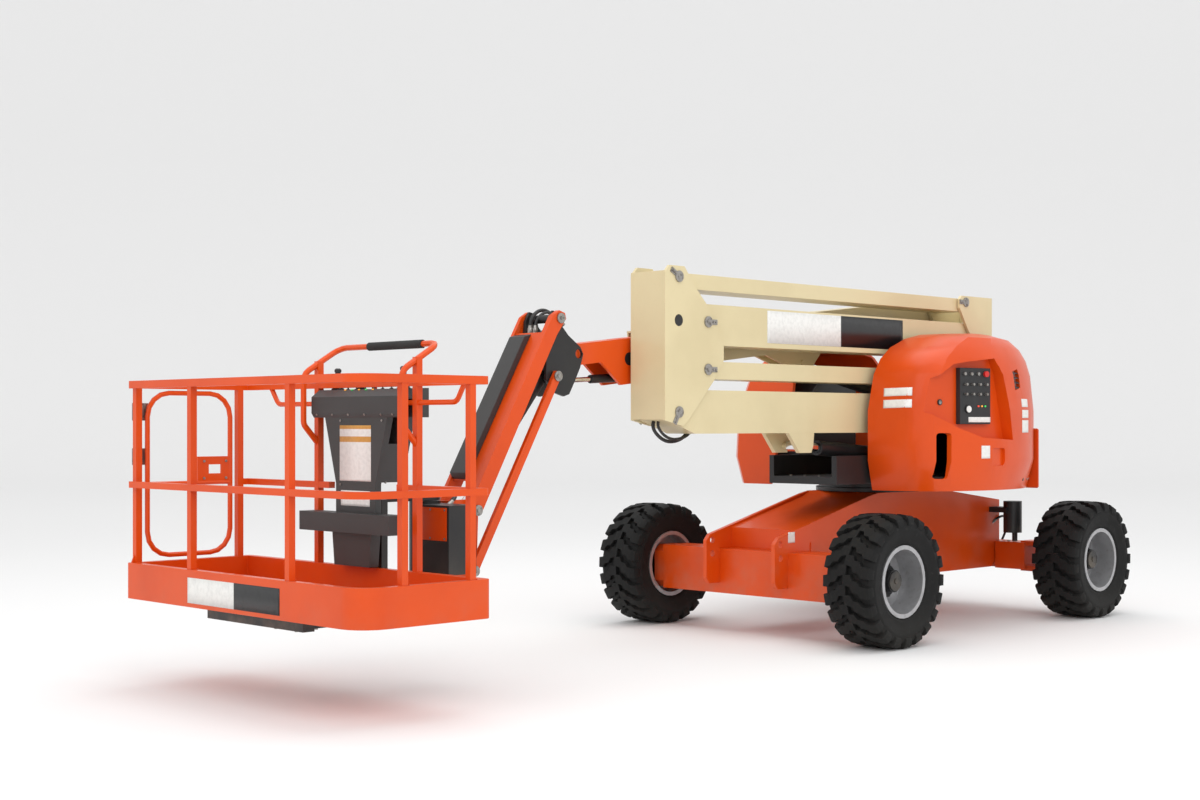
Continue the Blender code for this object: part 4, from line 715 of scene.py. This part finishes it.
for index, (z, tall) in enumerate(((1.545, 0.055), (1.470, 0.055), (1.385, 0.085))):
    sticker(f"hoodPlateRear{index}", "hood_left", at(-0.26, 1.10, z), (-0.24, 0.97, 0.0), (0.13, tall),
            grid=(10, 4))
sticker("hoodSquarePlate", "hood_left", at(0.24, 1.10, 1.215), (0.21, 0.97, 0.0), (0.08, 0.085))
print("signs and plates laid")


# ---------- small fittings
def spotOn(nodeName, start, direction):
    # where a straight look from start first meets a CAD node, and the way the surface faces there
    direction = Vector(direction).normalized()
    surface = surfaceOf(nodeName)
    spot, normal, _, _ = surface.ray_cast(start, direction, 3.0)
    if spot is None:  # past an edge or over a hole: the nearest point of the surface serves
        spot, normal, _, _ = surface.find_nearest(start + direction * 0.6)
        normal = -direction
    if normal.dot(direction) > 0:
        normal = -normal
    return spot, normal


pinLook = {"radius": 0.034, "proud": 0.010, "keeperLong": 0.055, "keeperHalf": 0.016, "keeperThick": 0.006}


def pinHead(name, body, x, y, z, side, tilt):
    # a pin's end with its keeper plate and two bolts
    builder, radius = bmesh.new(), pinLook["radius"]
    addDisc(builder, at(x, y, z), (0, side, 0), radius, pinLook["proud"], 24)
    addDisc(builder, at(x, y + side * pinLook["proud"], z), (0, side, 0), radius * 0.45, 0.003, 16)
    head = asObject("pinEnd", builder, [zinc])
    builder = bmesh.new()
    turn = Matrix.Rotation(math.radians(tilt), 4, "Y")
    low, high = sorted((0.0, side * pinLook["keeperThick"]))
    inner, half = radius * 0.75, pinLook["keeperHalf"]
    addBlock(builder, (inner, low, -half), (inner + pinLook["keeperLong"], high, half),
             Matrix.Translation(at(x, y, z)) @ turn, 0.0015)
    keeper = asObject("keeper", builder, [zinc])
    bolts = [(at(x, y, z) + turn @ Vector((inner + along, side * 0.009, 0)), (0, side, 0))
             for along in (0.018, 0.042)]
    return rideOn(join(name, [head, keeper, studs("keeperBolts", bolts, 0.0075, 0.007, zinc)]), body)


# body, place along and up, and the way its keeper plate points, in degrees
towerPins = [("mid_upright", 2.545, 1.473, 60), ("mid_upright", 2.285, 1.732, 180),
             ("mid_upright", 2.285, 2.020, 180), ("mid_upright", 2.545, 2.280, -30),
             ("rear_upright", -0.505, 2.280, 0), ("rear_upright", -0.765, 2.020, 180)]
for index, (body, x, z, tilt) in enumerate(towerPins):
    for label, start, side in (("Near", 0.9, 1), ("Far", -0.3, -1)):
        spot, _ = spotOn(body, at(x + 0.004, start, z + 0.004), (0, -side, 0))
        pinHead(f"towerPin{label}{index}", body, x, spot.y, z, side, tilt)

jibPins = [("jib_arm", 3.277, 2.010), ("jib_arm", 3.902, 0.9275), ("jib_link", 3.288, 1.677),
           ("jib_link", 3.913, 0.5945)]
for index, (body, x, z) in enumerate(jibPins):
    spot, _ = spotOn(body, at(x + 0.040, 0.9, z), (0, -1, 0))
    builder = bmesh.new()
    addDisc(builder, at(x, spot.y + 0.0045, z), (0, 1, 0), 0.030, 0.006, 20)
    addDisc(builder, at(x, spot.y + 0.0105, z), (0, 1, 0), 0.013, 0.007, 6)
    rideOn(asObject(f"jibPin{index}", builder, [zinc]), body)

# two black discs painted as the shade inside two round holes
for name, body, place, radius, height in (
        ("sightHole", "mid_upright", at(2.545, 0.46, 2.019), 0.034, 0.0015),
        ("flyPort", "boom_fly", spotOn("boom_fly", at(2.644, 0.6, 1.795), (0, -1, 0))[0], 0.040, 0.0012)):
    builder = bmesh.new()
    addDisc(builder, place, (0, 1, 0), radius, height, 24)
    rideOn(asObject(name, builder, [blackLabelAndHoleShade]), body)
print("pins headed")

# hoses that are clamped at both ends on one body
loopLow = [(2.56, 0.30, 1.47), (2.62, 0.30, 1.38), (2.50, 0.30, 1.29), (2.36, 0.30, 1.30), (2.28, 0.30, 1.36)]
loopLowB = [(2.56, 0.335, 1.47), (2.61, 0.335, 1.385), (2.50, 0.335, 1.305), (2.36, 0.335, 1.315),
            (2.29, 0.335, 1.365)]
jibTop = [(3.10, 0.015, 1.985), (3.16, 0.015, 2.05), (3.25, 0.015, 2.075), (3.33, 0.015, 2.02),
          (3.335, 0.015, 1.93)]
jibTopB = [(3.10, 0.045, 1.985), (3.16, 0.045, 2.04), (3.24, 0.045, 2.06), (3.315, 0.045, 2.01),
           (3.325, 0.045, 1.93)]
rearLoop = [(-1.10, 0.30, 0.66), (-1.20, 0.34, 0.72), (-1.34, 0.30, 0.66), (-1.42, 0.20, 0.52),
            (-1.42, 0.16, 0.47)]
rotatorLoop = [(4.02, 0.02, 0.90), (3.99, 0.10, 0.99), (4.03, 0.19, 1.01), (4.10, 0.20, 0.96)]
engineFuel = [(-0.20, -0.70, 1.70), (-0.10, -0.66, 1.77), (0.06, -0.66, 1.74), (0.10, -0.66, 1.60)]
engineOil = [(-0.40, -0.62, 1.70), (-0.36, -0.58, 1.79), (-0.14, -0.60, 1.78), (-0.08, -0.66, 1.70)]
hoseRuns = [
    ("LoopLow", "mid_upright", loopLow, 0.011), ("LoopLowB", "mid_upright", loopLowB, 0.009),
    ("JibTop", "jib_knuckle", jibTop, 0.011), ("JibTopB", "jib_knuckle", jibTopB, 0.009),
    ("RearLoopLeft", "chassis", rearLoop, 0.009),
    ("RearLoopRight", "chassis", [(x, -y, z) for x, y, z in rearLoop], 0.009),
    ("RotatorLoop", "platform_support", rotatorLoop, 0.008), ("EngineFuel", "turntable", engineFuel, 0.012),
    ("EngineOil", "turntable", engineOil, 0.010),
]
for name, body, route, radius in hoseRuns:
    line = [at(*point) for point in route]
    hose = tube("route", line, radius, hoseBlack)
    builder = bmesh.new()
    for place, beyond in ((line[0], line[1]), (line[-1], line[-2])):  # a crimped sleeve and a nut at each end
        along = (beyond - place).normalized()
        addDisc(builder, place, along, radius * 1.5, 0.030, 12)
        addDisc(builder, place + along * 0.028, along, radius * 1.25, 0.016, 6)
    rideOn(join(f"hose{name}", [hose, asObject("ferrules", builder, [zinc])]), body)
print("hoses run")


# ---------- platform: grip, floor studs, console controls, latches
grip = {"x": 4.465, "z": 1.815, "low": -0.02, "high": 0.44, "radius": 0.0225, "bar": 0.0165,
        "rib": 0.0115}


def gripSleeve():
    low, high, full, rib = grip["low"], grip["high"], grip["radius"], grip["rib"]
    profile = [(grip["bar"], low), (full - 0.003, low), (full, low + 0.004)]
    along = low + 0.01
    while along < high - 0.01:  # soft ribs round the sleeve
        profile += [(full, along), (full - 0.0012, along + rib * 0.35), (full, along + rib * 0.7)]
        along += rib
    profile += [(full, high - 0.004), (full - 0.003, high), (grip["bar"], high)]
    builder, sections = bmesh.new(), []
    for count in range(24):
        cosine, sine = math.cos(2 * math.pi * count / 24), math.sin(2 * math.pi * count / 24)
        sections.append([builder.verts.new(at(grip["x"] + r * cosine, y, grip["z"] + r * sine))
                         for r, y in profile])
    for section, following in zip(sections, sections[1:] + sections[:1]):
        band(builder, section, following)
    bmesh.ops.recalc_face_normals(builder, faces=builder.faces)
    return asObject("hoopGrip", builder, [foam])


sleeve = gripSleeve()
rideOn(sleeve, "platform")

deck = {"x": (4.66, 5.30), "y": (-0.91, 1.03), "z": 0.5008, "pitch": 0.055, "rowShare": 0.62}
spots, row = [], 0
x = deck["x"][0]
while x < deck["x"][1]:
    y = deck["y"][0] + (deck["pitch"] / 2 if row % 2 else 0.0)
    while y < deck["y"][1]:
        spots.append((at(x, y, deck["z"]), (0, 0, 1)))
        y += deck["pitch"]
    x += deck["pitch"] * deck["rowShare"]
    row += 1
rideOn(studs("floorStuds", spots, 0.009, 0.004, orange, 8), "platform")

def consoleSpot(x, y):
    return spotOn("control_console", at(x, y, 2.2), (0, 0, -1))[0]


def stick(x, y, tall, boot, knob):
    # a lever with a bellows boot and a shaped knob
    builder, base = bmesh.new(), consoleSpot(x, y)
    layers = [(boot * 0.16 * level, boot * (1.0 - level * 0.13), boot * 0.15, 16, 0.15) for level in range(5)]
    layers += [(boot * 0.7, 0.006, tall - boot * 0.7, 8, 0.15), (tall * 0.62, knob * 0.8, tall * 0.30, 16, 0.3),
               (tall * 0.84, knob, tall * 0.16, 16, 0.4)]
    for lift, radius, height, sides, edge in layers:
        addDisc(builder, base + Vector((0, 0, lift)), (0, 0, 1), radius, height, sides, edge)
    return asObject("stick", builder, [darkPlastic])


controls = [stick(4.56, -0.17, 0.115, 0.036, 0.019), stick(4.56, 0.40, 0.115, 0.036, 0.019),
            stick(4.545, 0.02, 0.070, 0.026, 0.012)]
builder = bmesh.new()
addDisc(builder, consoleSpot(4.55, 0.14), (0, 0, 1), 0.014, 0.018, 16)
addDisc(builder, consoleSpot(4.55, 0.14) + Vector((0, 0, 0.018)), (0, 0, 1), 0.024, 0.014, 20, 0.3)
controls.append(asObject("stopButton", builder, [redCap]))
collars = [(consoleSpot(4.60, -0.10 + index * 0.075), (0, 0, 1)) for index in range(7)]
levers = [(place + Vector((0, 0, 0.011)), (0.25, 0, 1)) for place, _ in collars]
lampSpots = [(consoleSpot(4.635, index * 0.06) + Vector((0, 0, 0.002)), (0, 0, 1)) for index in range(5)]
controls += [studs("toggles", levers, 0.0045, 0.030, zinc, 8),
             studs("toggleCollars", collars, 0.010, 0.006, blackLabelAndHoleShade, 12),
             studs("lampsAmber", lampSpots[::2], 0.006, 0.006, amberLamp, 12),
             studs("lampsGreen", lampSpots[1::2], 0.006, 0.006, greenLamp, 12)]
rideOn(join("consoleControls", controls), "platform")


def boltsOn(name, nodeName, looks, radius=0.010, height=0.009, lift=None, sides=6):
    # each look is a start and a direction; a bolt stands where it meets the node
    spots = []
    for start, direction in looks:
        spot, facing = spotOn(nodeName, at(*start), direction)
        spots.append((spot + facing * (height * 0.35 if lift is None else lift), facing))
    return rideOn(studs(name, spots, radius, height, zinc, sides), bodyOf[nodeName])


screwSpots = [(y, 1.452) for y in (-0.20, -0.06, 0.08, 0.22, 0.36, 0.455)]
screwSpots += [(0.0, 1.42), (0.355, 1.42), (0.355, 1.085), (0.0, 1.085)]
boltsOn("consoleScrews", "control_console", [((5.2, y, z), (-1, 0, 0)) for y, z in screwSpots], 0.006, 0.006,
        0.001, 8)

# cabinet beside the rotator, with a painted door panel
builder = bmesh.new()
addBlock(builder, at(4.27, 0.125, 0.785), at(4.2735, 0.395, 0.960), None, 0.001)
panel = asObject("panelSheet", builder, [orange])
edgeSpots = [(at(4.2745, y, z), (1, 0, 0)) for y in (0.140, 0.26, 0.380) for z in (0.797, 0.948)]
screws = studs("panelScrews", edgeSpots, 0.006, 0.004, zinc, 8)
rideOn(join("cabinetPanel", [panel, screws]), "platform_support")

# grey hinge leaves on the gate's post
for index, (low, high) in enumerate(((1.18, 1.27), (1.42, 1.515))):
    spot, _ = spotOn("platform_rails", at(5.30, -1.6, (low + high) / 2), (0, 1, 0))
    builder = bmesh.new()
    addBlock(builder, (at(5.228, 0, 0).x, spot.y - 0.006, low), (at(5.325, 0, 0).x, spot.y - 0.001, high),
             None, 0.0015)
    leaf = asObject("leaf", builder, [zinc])
    bolts = [(Vector((at(x, 0, 0).x, spot.y - 0.008, z)), (0, -1, 0)) for x in (5.245, 5.308)
             for z in (low + 0.02, high - 0.02)]
    rideOn(join(f"gateHingeLeaf{index}", [leaf, studs("leafBolts", bolts, 0.007, 0.006, zinc)]), "platform")
hingeSpots = [(5.245, 1.205), (5.275, 1.245), (5.245, 1.445), (5.275, 1.49)]
latchSpots = [(4.76, 1.10), (4.76, 1.195), (4.90, 1.10), (4.90, 1.195)]
for name, nodeName, spots, height in (("gateHingeBolts", "platform_rails", hingeSpots, 0.007),
                                      ("gateLatchBolts", "gate", latchSpots, 0.006)):
    boltsOn(name, nodeName, [((x, -0.5, z), (0, -1, 0)) for x, z in spots], 0.008, height, 0.002)
print("platform fitted")


# ---------- turntable covers: controls, latches, rivets, louvres
def hoodSpot(nodeName, x, z, side):
    return spotOn(nodeName, at(x, side * 1.6, z), (0, -side, 0))


knobKinds = {  # radius, height, finish, sides
    "stop": (0.020, 0.016, redCap, 20), "key": (0.011, 0.014, zinc, 12), "toggle": (0.009, 0.022, zinc, 8),
    "greenLight": (0.006, 0.006, greenLamp, 12), "amberLight": (0.006, 0.006, amberLamp, 12),
    "redLight": (0.006, 0.006, redLamp, 12), "gaugeRim": (0.028, 0.008, blackLabelAndHoleShade, 24),
    "gaugeFace": (0.022, 0.010, whiteLabel, 24)}
knobs = [("stop", 0.145, 1.735)] + [("key", x, 1.735) for x in (0.215, 0.275, 0.335)]
knobs += [("toggle", x, z) for z in (1.665, 1.600) for x in (0.145, 0.205, 0.265, 0.325)]
knobs += [("greenLight", 0.150, 1.520), ("amberLight", 0.180, 1.520), ("redLight", 0.210, 1.520),
          ("gaugeRim", 0.300, 1.500), ("gaugeFace", 0.300, 1.500)]
panelControls = []
for kind, x, z in knobs:
    radius, height, finish, sides = knobKinds[kind]
    spot, facing = hoodSpot("control_panel", x, z, 1)
    panelControls.append(studs("knob", [(spot + facing * height / 2, facing)], radius, height, finish, sides))
rideOn(join("groundControls", panelControls), "hood_left")
sticker("groundControlsPlate", "control_panel", at(0.235, 1.2, 1.43), (0.2, 0.98, 0.0), (0.20, 0.035))

for hand, nodeName, side, x, z in (("Left", "hood_left", 1, 0.513, 1.545),
                                   ("Right", "hood_right", -1, -0.10, 1.30)):
    spot, facing = hoodSpot(nodeName, x, z, side)
    locks = [studs("lockRing", [(spot + facing * 0.003, facing)], 0.020, 0.008, darkPlastic, 20),
             studs("lockBarrel", [(spot + facing * 0.005, facing)], 0.013, 0.010, zinc, 16)]
    rideOn(join(f"hoodLock{hand}", locks), nodeName)
    rivets = [((along, side * 1.6, 1.02), (0, -side, 0)) for along in (-0.30, -0.42, -0.54)]
    boltsOn(f"hoodRivets{hand}", nodeName, rivets, 0.009, 0.006, 0.002, 8)

# louvre blades in the intake slot
louvre = {"count": 4, "low": 1.650, "pitch": 0.033, "x": (-0.070, -0.225), "half": 0.044, "thick": 0.001}
for index in range(louvre["count"]):
    z = louvre["low"] + index * louvre["pitch"]
    (before, facing), (after, facingAfter) = (hoodSpot("hood_left", x, z, 1) for x in louvre["x"])
    facing = ((facing + facingAfter) / 2).normalized()
    along = Vector((0, 0, 1)).cross(facing).normalized()
    centre = (before + after) / 2 - facing * 0.004
    lean = (facing * 0.010 - Vector((0, 0, 0.012)))
    builder, corners = bmesh.new(), []
    for share in (-louvre["half"], louvre["half"]):
        for offset in (-lean * 0.5, lean * 0.5):
            for lift in (-louvre["thick"], louvre["thick"]):
                corners.append(builder.verts.new(centre + along * share + offset + Vector((0, 0, lift))))
    for face in ((0, 1, 3, 2), (4, 6, 7, 5), (0, 4, 5, 1), (2, 3, 7, 6), (0, 2, 6, 4), (1, 5, 7, 3)):
        builder.faces.new([corners[corner] for corner in face])
    bmesh.ops.recalc_face_normals(builder, faces=builder.faces)
    rideOn(asObject(f"intakeBlade{index}", builder, [black]), "hood_left")
print("covers fitted")

# engine dress-up, seen with the cover open
def stack(name, layers, finish):
    # round layers, each with its place, direction, radius, height and sides
    builder = bmesh.new()
    for place, direction, radius, height, sides in layers:
        addDisc(builder, at(*place), direction, radius, height, sides)
    return asObject(name, builder, [finish])


shroud = stack("fanShroud", [((0.19, -0.69, 1.40), (1, 0, 0), 0.125, 0.014, 32),
                             ((0.204, -0.69, 1.40), (1, 0, 0), 0.040, 0.020, 20)], darkPlastic)
cleaner = stack("airCleaner", [((-0.42, -0.70, 1.72), (0, 0, 1), 0.070, 0.060, 28),
                               ((-0.42, -0.70, 1.78), (0, 0, 1), 0.020, 0.014, 6)], greyPlastic)
headSpots = [(at(-0.42 + 0.115 * step, y, 1.722), (0, 0, 1)) for step in range(1, 5) for y in (-0.84, -0.55)]
headBolts = studs("headBolts", headSpots, 0.011, 0.010, zinc)
rideOn(join("engineDress", [shroud, cleaner, headBolts]), "turntable")

# bolts on the counterweight, axles, deck, mount, arm and boom
boltLooks = [  # piece, node, where to look from, which way, radius, height
    ("weightBolts", "counterweight", [(-2.0, y, z) for y in (-0.35, 0.35) for z in (1.08, 1.26)], (1, 0, 0),
     0.020, 0.016),
    ("axleBoltsFront", "drive_axle", [(x, y, -0.2) for x in (1.17, 1.26) for y in (-0.42, 0.42)], (0, 0, 1),
     0.011, 0.010),
    ("axleBoltsRear", "steer_axle", [(x, y, 1.5) for x in (-1.25, -1.18) for y in (-0.40, 0.40)], (0, 0, -1),
     0.011, 0.010),
    ("deckBolts", "turntable_frame", [(0.92, y, 1.6) for y in (0.0, 0.12, 0.24, 0.36)], (0, 0, -1), 0.010, 0.008),
]
for name, nodeName, starts, direction, radius, height in boltLooks:
    boltsOn(name, nodeName, [(start, direction) for start in starts], radius, height)
mountLooks = [((4.60 + 0.12 * step, y, -0.2), (0, 0, 1)) for step in range(5) for y in (0.02, 0.20)]
boltsOn("mountBolts", "platform_mount", mountLooks)
boltsOn("armPlateBolts", "lower_arm", [((-0.28, 0.9, z), (0, -1, 0)) for z in (1.42, 1.53)])
boltsOn("boomCollarBolts", "boom_base", [((2.10, 0.6, z), (0, -1, 0)) for z in (1.80, 1.90)])


# weld beads: small overlapping ripples along a seam
def weldBead(name, body, seams, width):
    builder = bmesh.new()
    for first, last in seams:
        first, last = at(*first), at(*last)
        count = max(6, min(90, int((last - first).length / (width * 1.1))))
        direction = (last - first).normalized()
        side = direction.orthogonal().normalized()
        other = direction.cross(side)
        rings = []
        for step in range(count * 2 + 1):
            swell = width * (0.62 if step % 2 else 0.80) * (0.3 if step in (0, count * 2) else 1.0)
            centre = first.lerp(last, step / (count * 2))
            rings.append([builder.verts.new(centre + (side * math.cos(math.pi * turn / 3)
                                                      + other * math.sin(math.pi * turn / 3)) * swell)
                          for turn in range(6)])
        skin(builder, rings)
    bmesh.ops.recalc_face_normals(builder, faces=builder.faces)
    return rideOn(asObject(name, builder, [orange], 180), body)


postFeet = [((5.335, -0.36), 0.024), ((5.335, 0.52), 0.024), ((5.10, 1.085), 0.024), ((4.69, 1.085), 0.024)]
railSeams = [((x - half, y + half * 0.9, 0.658), (x - half, y - half * 0.9, 0.658))
             for (x, y), half in postFeet]
weldBead("railWelds", "platform", railSeams, 0.004)
chassisSeams = []
for side in (0.313, -0.313):
    chassisSeams += [((1.10, side, 0.40), (1.33, side, 0.40)), ((1.10, side, 0.44), (1.10, side, 0.62))]
weldBead("chassisWelds", "chassis", chassisSeams, 0.006)
print("bolts and welds placed")


# ---------- studio: pale floor, soft lights, camera
# the last entry is a point on the far side of the machine where the floor's painted shade is darkest
studio = {"heading": 0.792, "eye": (8.0445, 7.252, 1.404), "bright": (-2.2, -2.6)}


def studioFloor():
    builder = bmesh.new()
    cosine, sine = math.cos(studio["heading"]), math.sin(studio["heading"])
    rows = []
    for step in range(25):
        # flat ground that curves up into a wall far behind
        share = step / 24
        if share < 0.6:
            rows.append((12.0 - 40.0 * share / 0.6, 0.0))
        else:
            turn = (share - 0.6) / 0.4 * math.pi / 2
            rows.append((-28.0 - 9.0 * math.sin(turn), 9.0 * (1 - math.cos(turn))))
    rows.append((-37.0, 30.0))
    previous = None
    for along, high in rows:
        line = [builder.verts.new((along * cosine - y * sine, along * sine + y * cosine, high))
                for y in (-60.0, 0.0, 60.0)]
        if previous:
            for index in range(2):
                builder.faces.new((previous[index], previous[index + 1], line[index + 1], line[index]))
        previous = line
    bmesh.ops.recalc_face_normals(builder, faces=builder.faces)
    finish = Finish("studioGround")
    # painted shade: the floor is a little darker within 4 m of this point and lighter from 16 m out
    along, across = finish.axis("X") - studio["bright"][0], finish.axis("Y") - studio["bright"][1]
    away = (along * along + across * across) ** 0.5
    fade = finish.band(away, 4.0, 16.0)
    finish.set(colour=finish.blend(fade, (0.84, 0.84, 0.84), (0.88, 0.88, 0.88)), rough=0.9)
    return asObject("studioFloor", builder, [finish.material], 60)


def lamp(name, place, aim, size, power, colour=(1.0, 1.0, 1.0)):
    light = bpy.data.lights.new(name, "AREA")
    light.shape, light.size, light.size_y = "RECTANGLE", size[0], size[1]
    light.energy, light.color = power, colour
    thing = bpy.data.objects.new(name, light)
    thing.location = place
    thing.rotation_euler = (Vector(aim) - Vector(place)).to_track_quat("-Z", "Y").to_euler()
    bpy.context.scene.collection.objects.link(thing)
    return thing


floor = studioFloor()
lights = [lamp("keyLight", (5.5, 9.5, 8.0), (-0.5, 0.0, 1.0), (7.0, 5.0), 330.0),
          lamp("frontLight", (10.0, 0.5, 6.0), (0.5, 0.0, 1.0), (6.0, 5.0), 120.0),
          lamp("topLight", (-1.0, 0.0, 9.5), (-0.5, 0.0, 0.5), (10.0, 8.0), 300.0)]
world = bpy.data.worlds.new("studioAir")
world.use_nodes = True
world.node_tree.nodes["Background"].inputs["Color"].default_value = (1.0, 1.0, 1.0, 1.0)
world.node_tree.nodes["Background"].inputs["Strength"].default_value = 0.95
bpy.context.scene.world = world
bpy.context.scene.view_settings.view_transform = "Standard"

lens = bpy.data.cameras.new("camera")
lens.sensor_width, lens.lens, lens.shift_y = 36.0, 50.477, 0.01965
camera = bpy.data.objects.new("camera", lens)
ahead = Vector((-math.cos(studio["heading"]), -math.sin(studio["heading"]), 0.0))
right = Vector((-math.sin(studio["heading"]), math.cos(studio["heading"]), 0.0))
eyeX, eyeY, eyeZ = studio["eye"]
camera.matrix_world = Matrix(((right.x, 0.0, -ahead.x, eyeX), (right.y, 0.0, -ahead.y, eyeY),
                              (0.0, 1.0, 0.0, eyeZ), (0.0, 0.0, 0.0, 1.0)))
bpy.context.scene.collection.objects.link(camera)
bpy.context.scene.camera = camera
print("studio set")
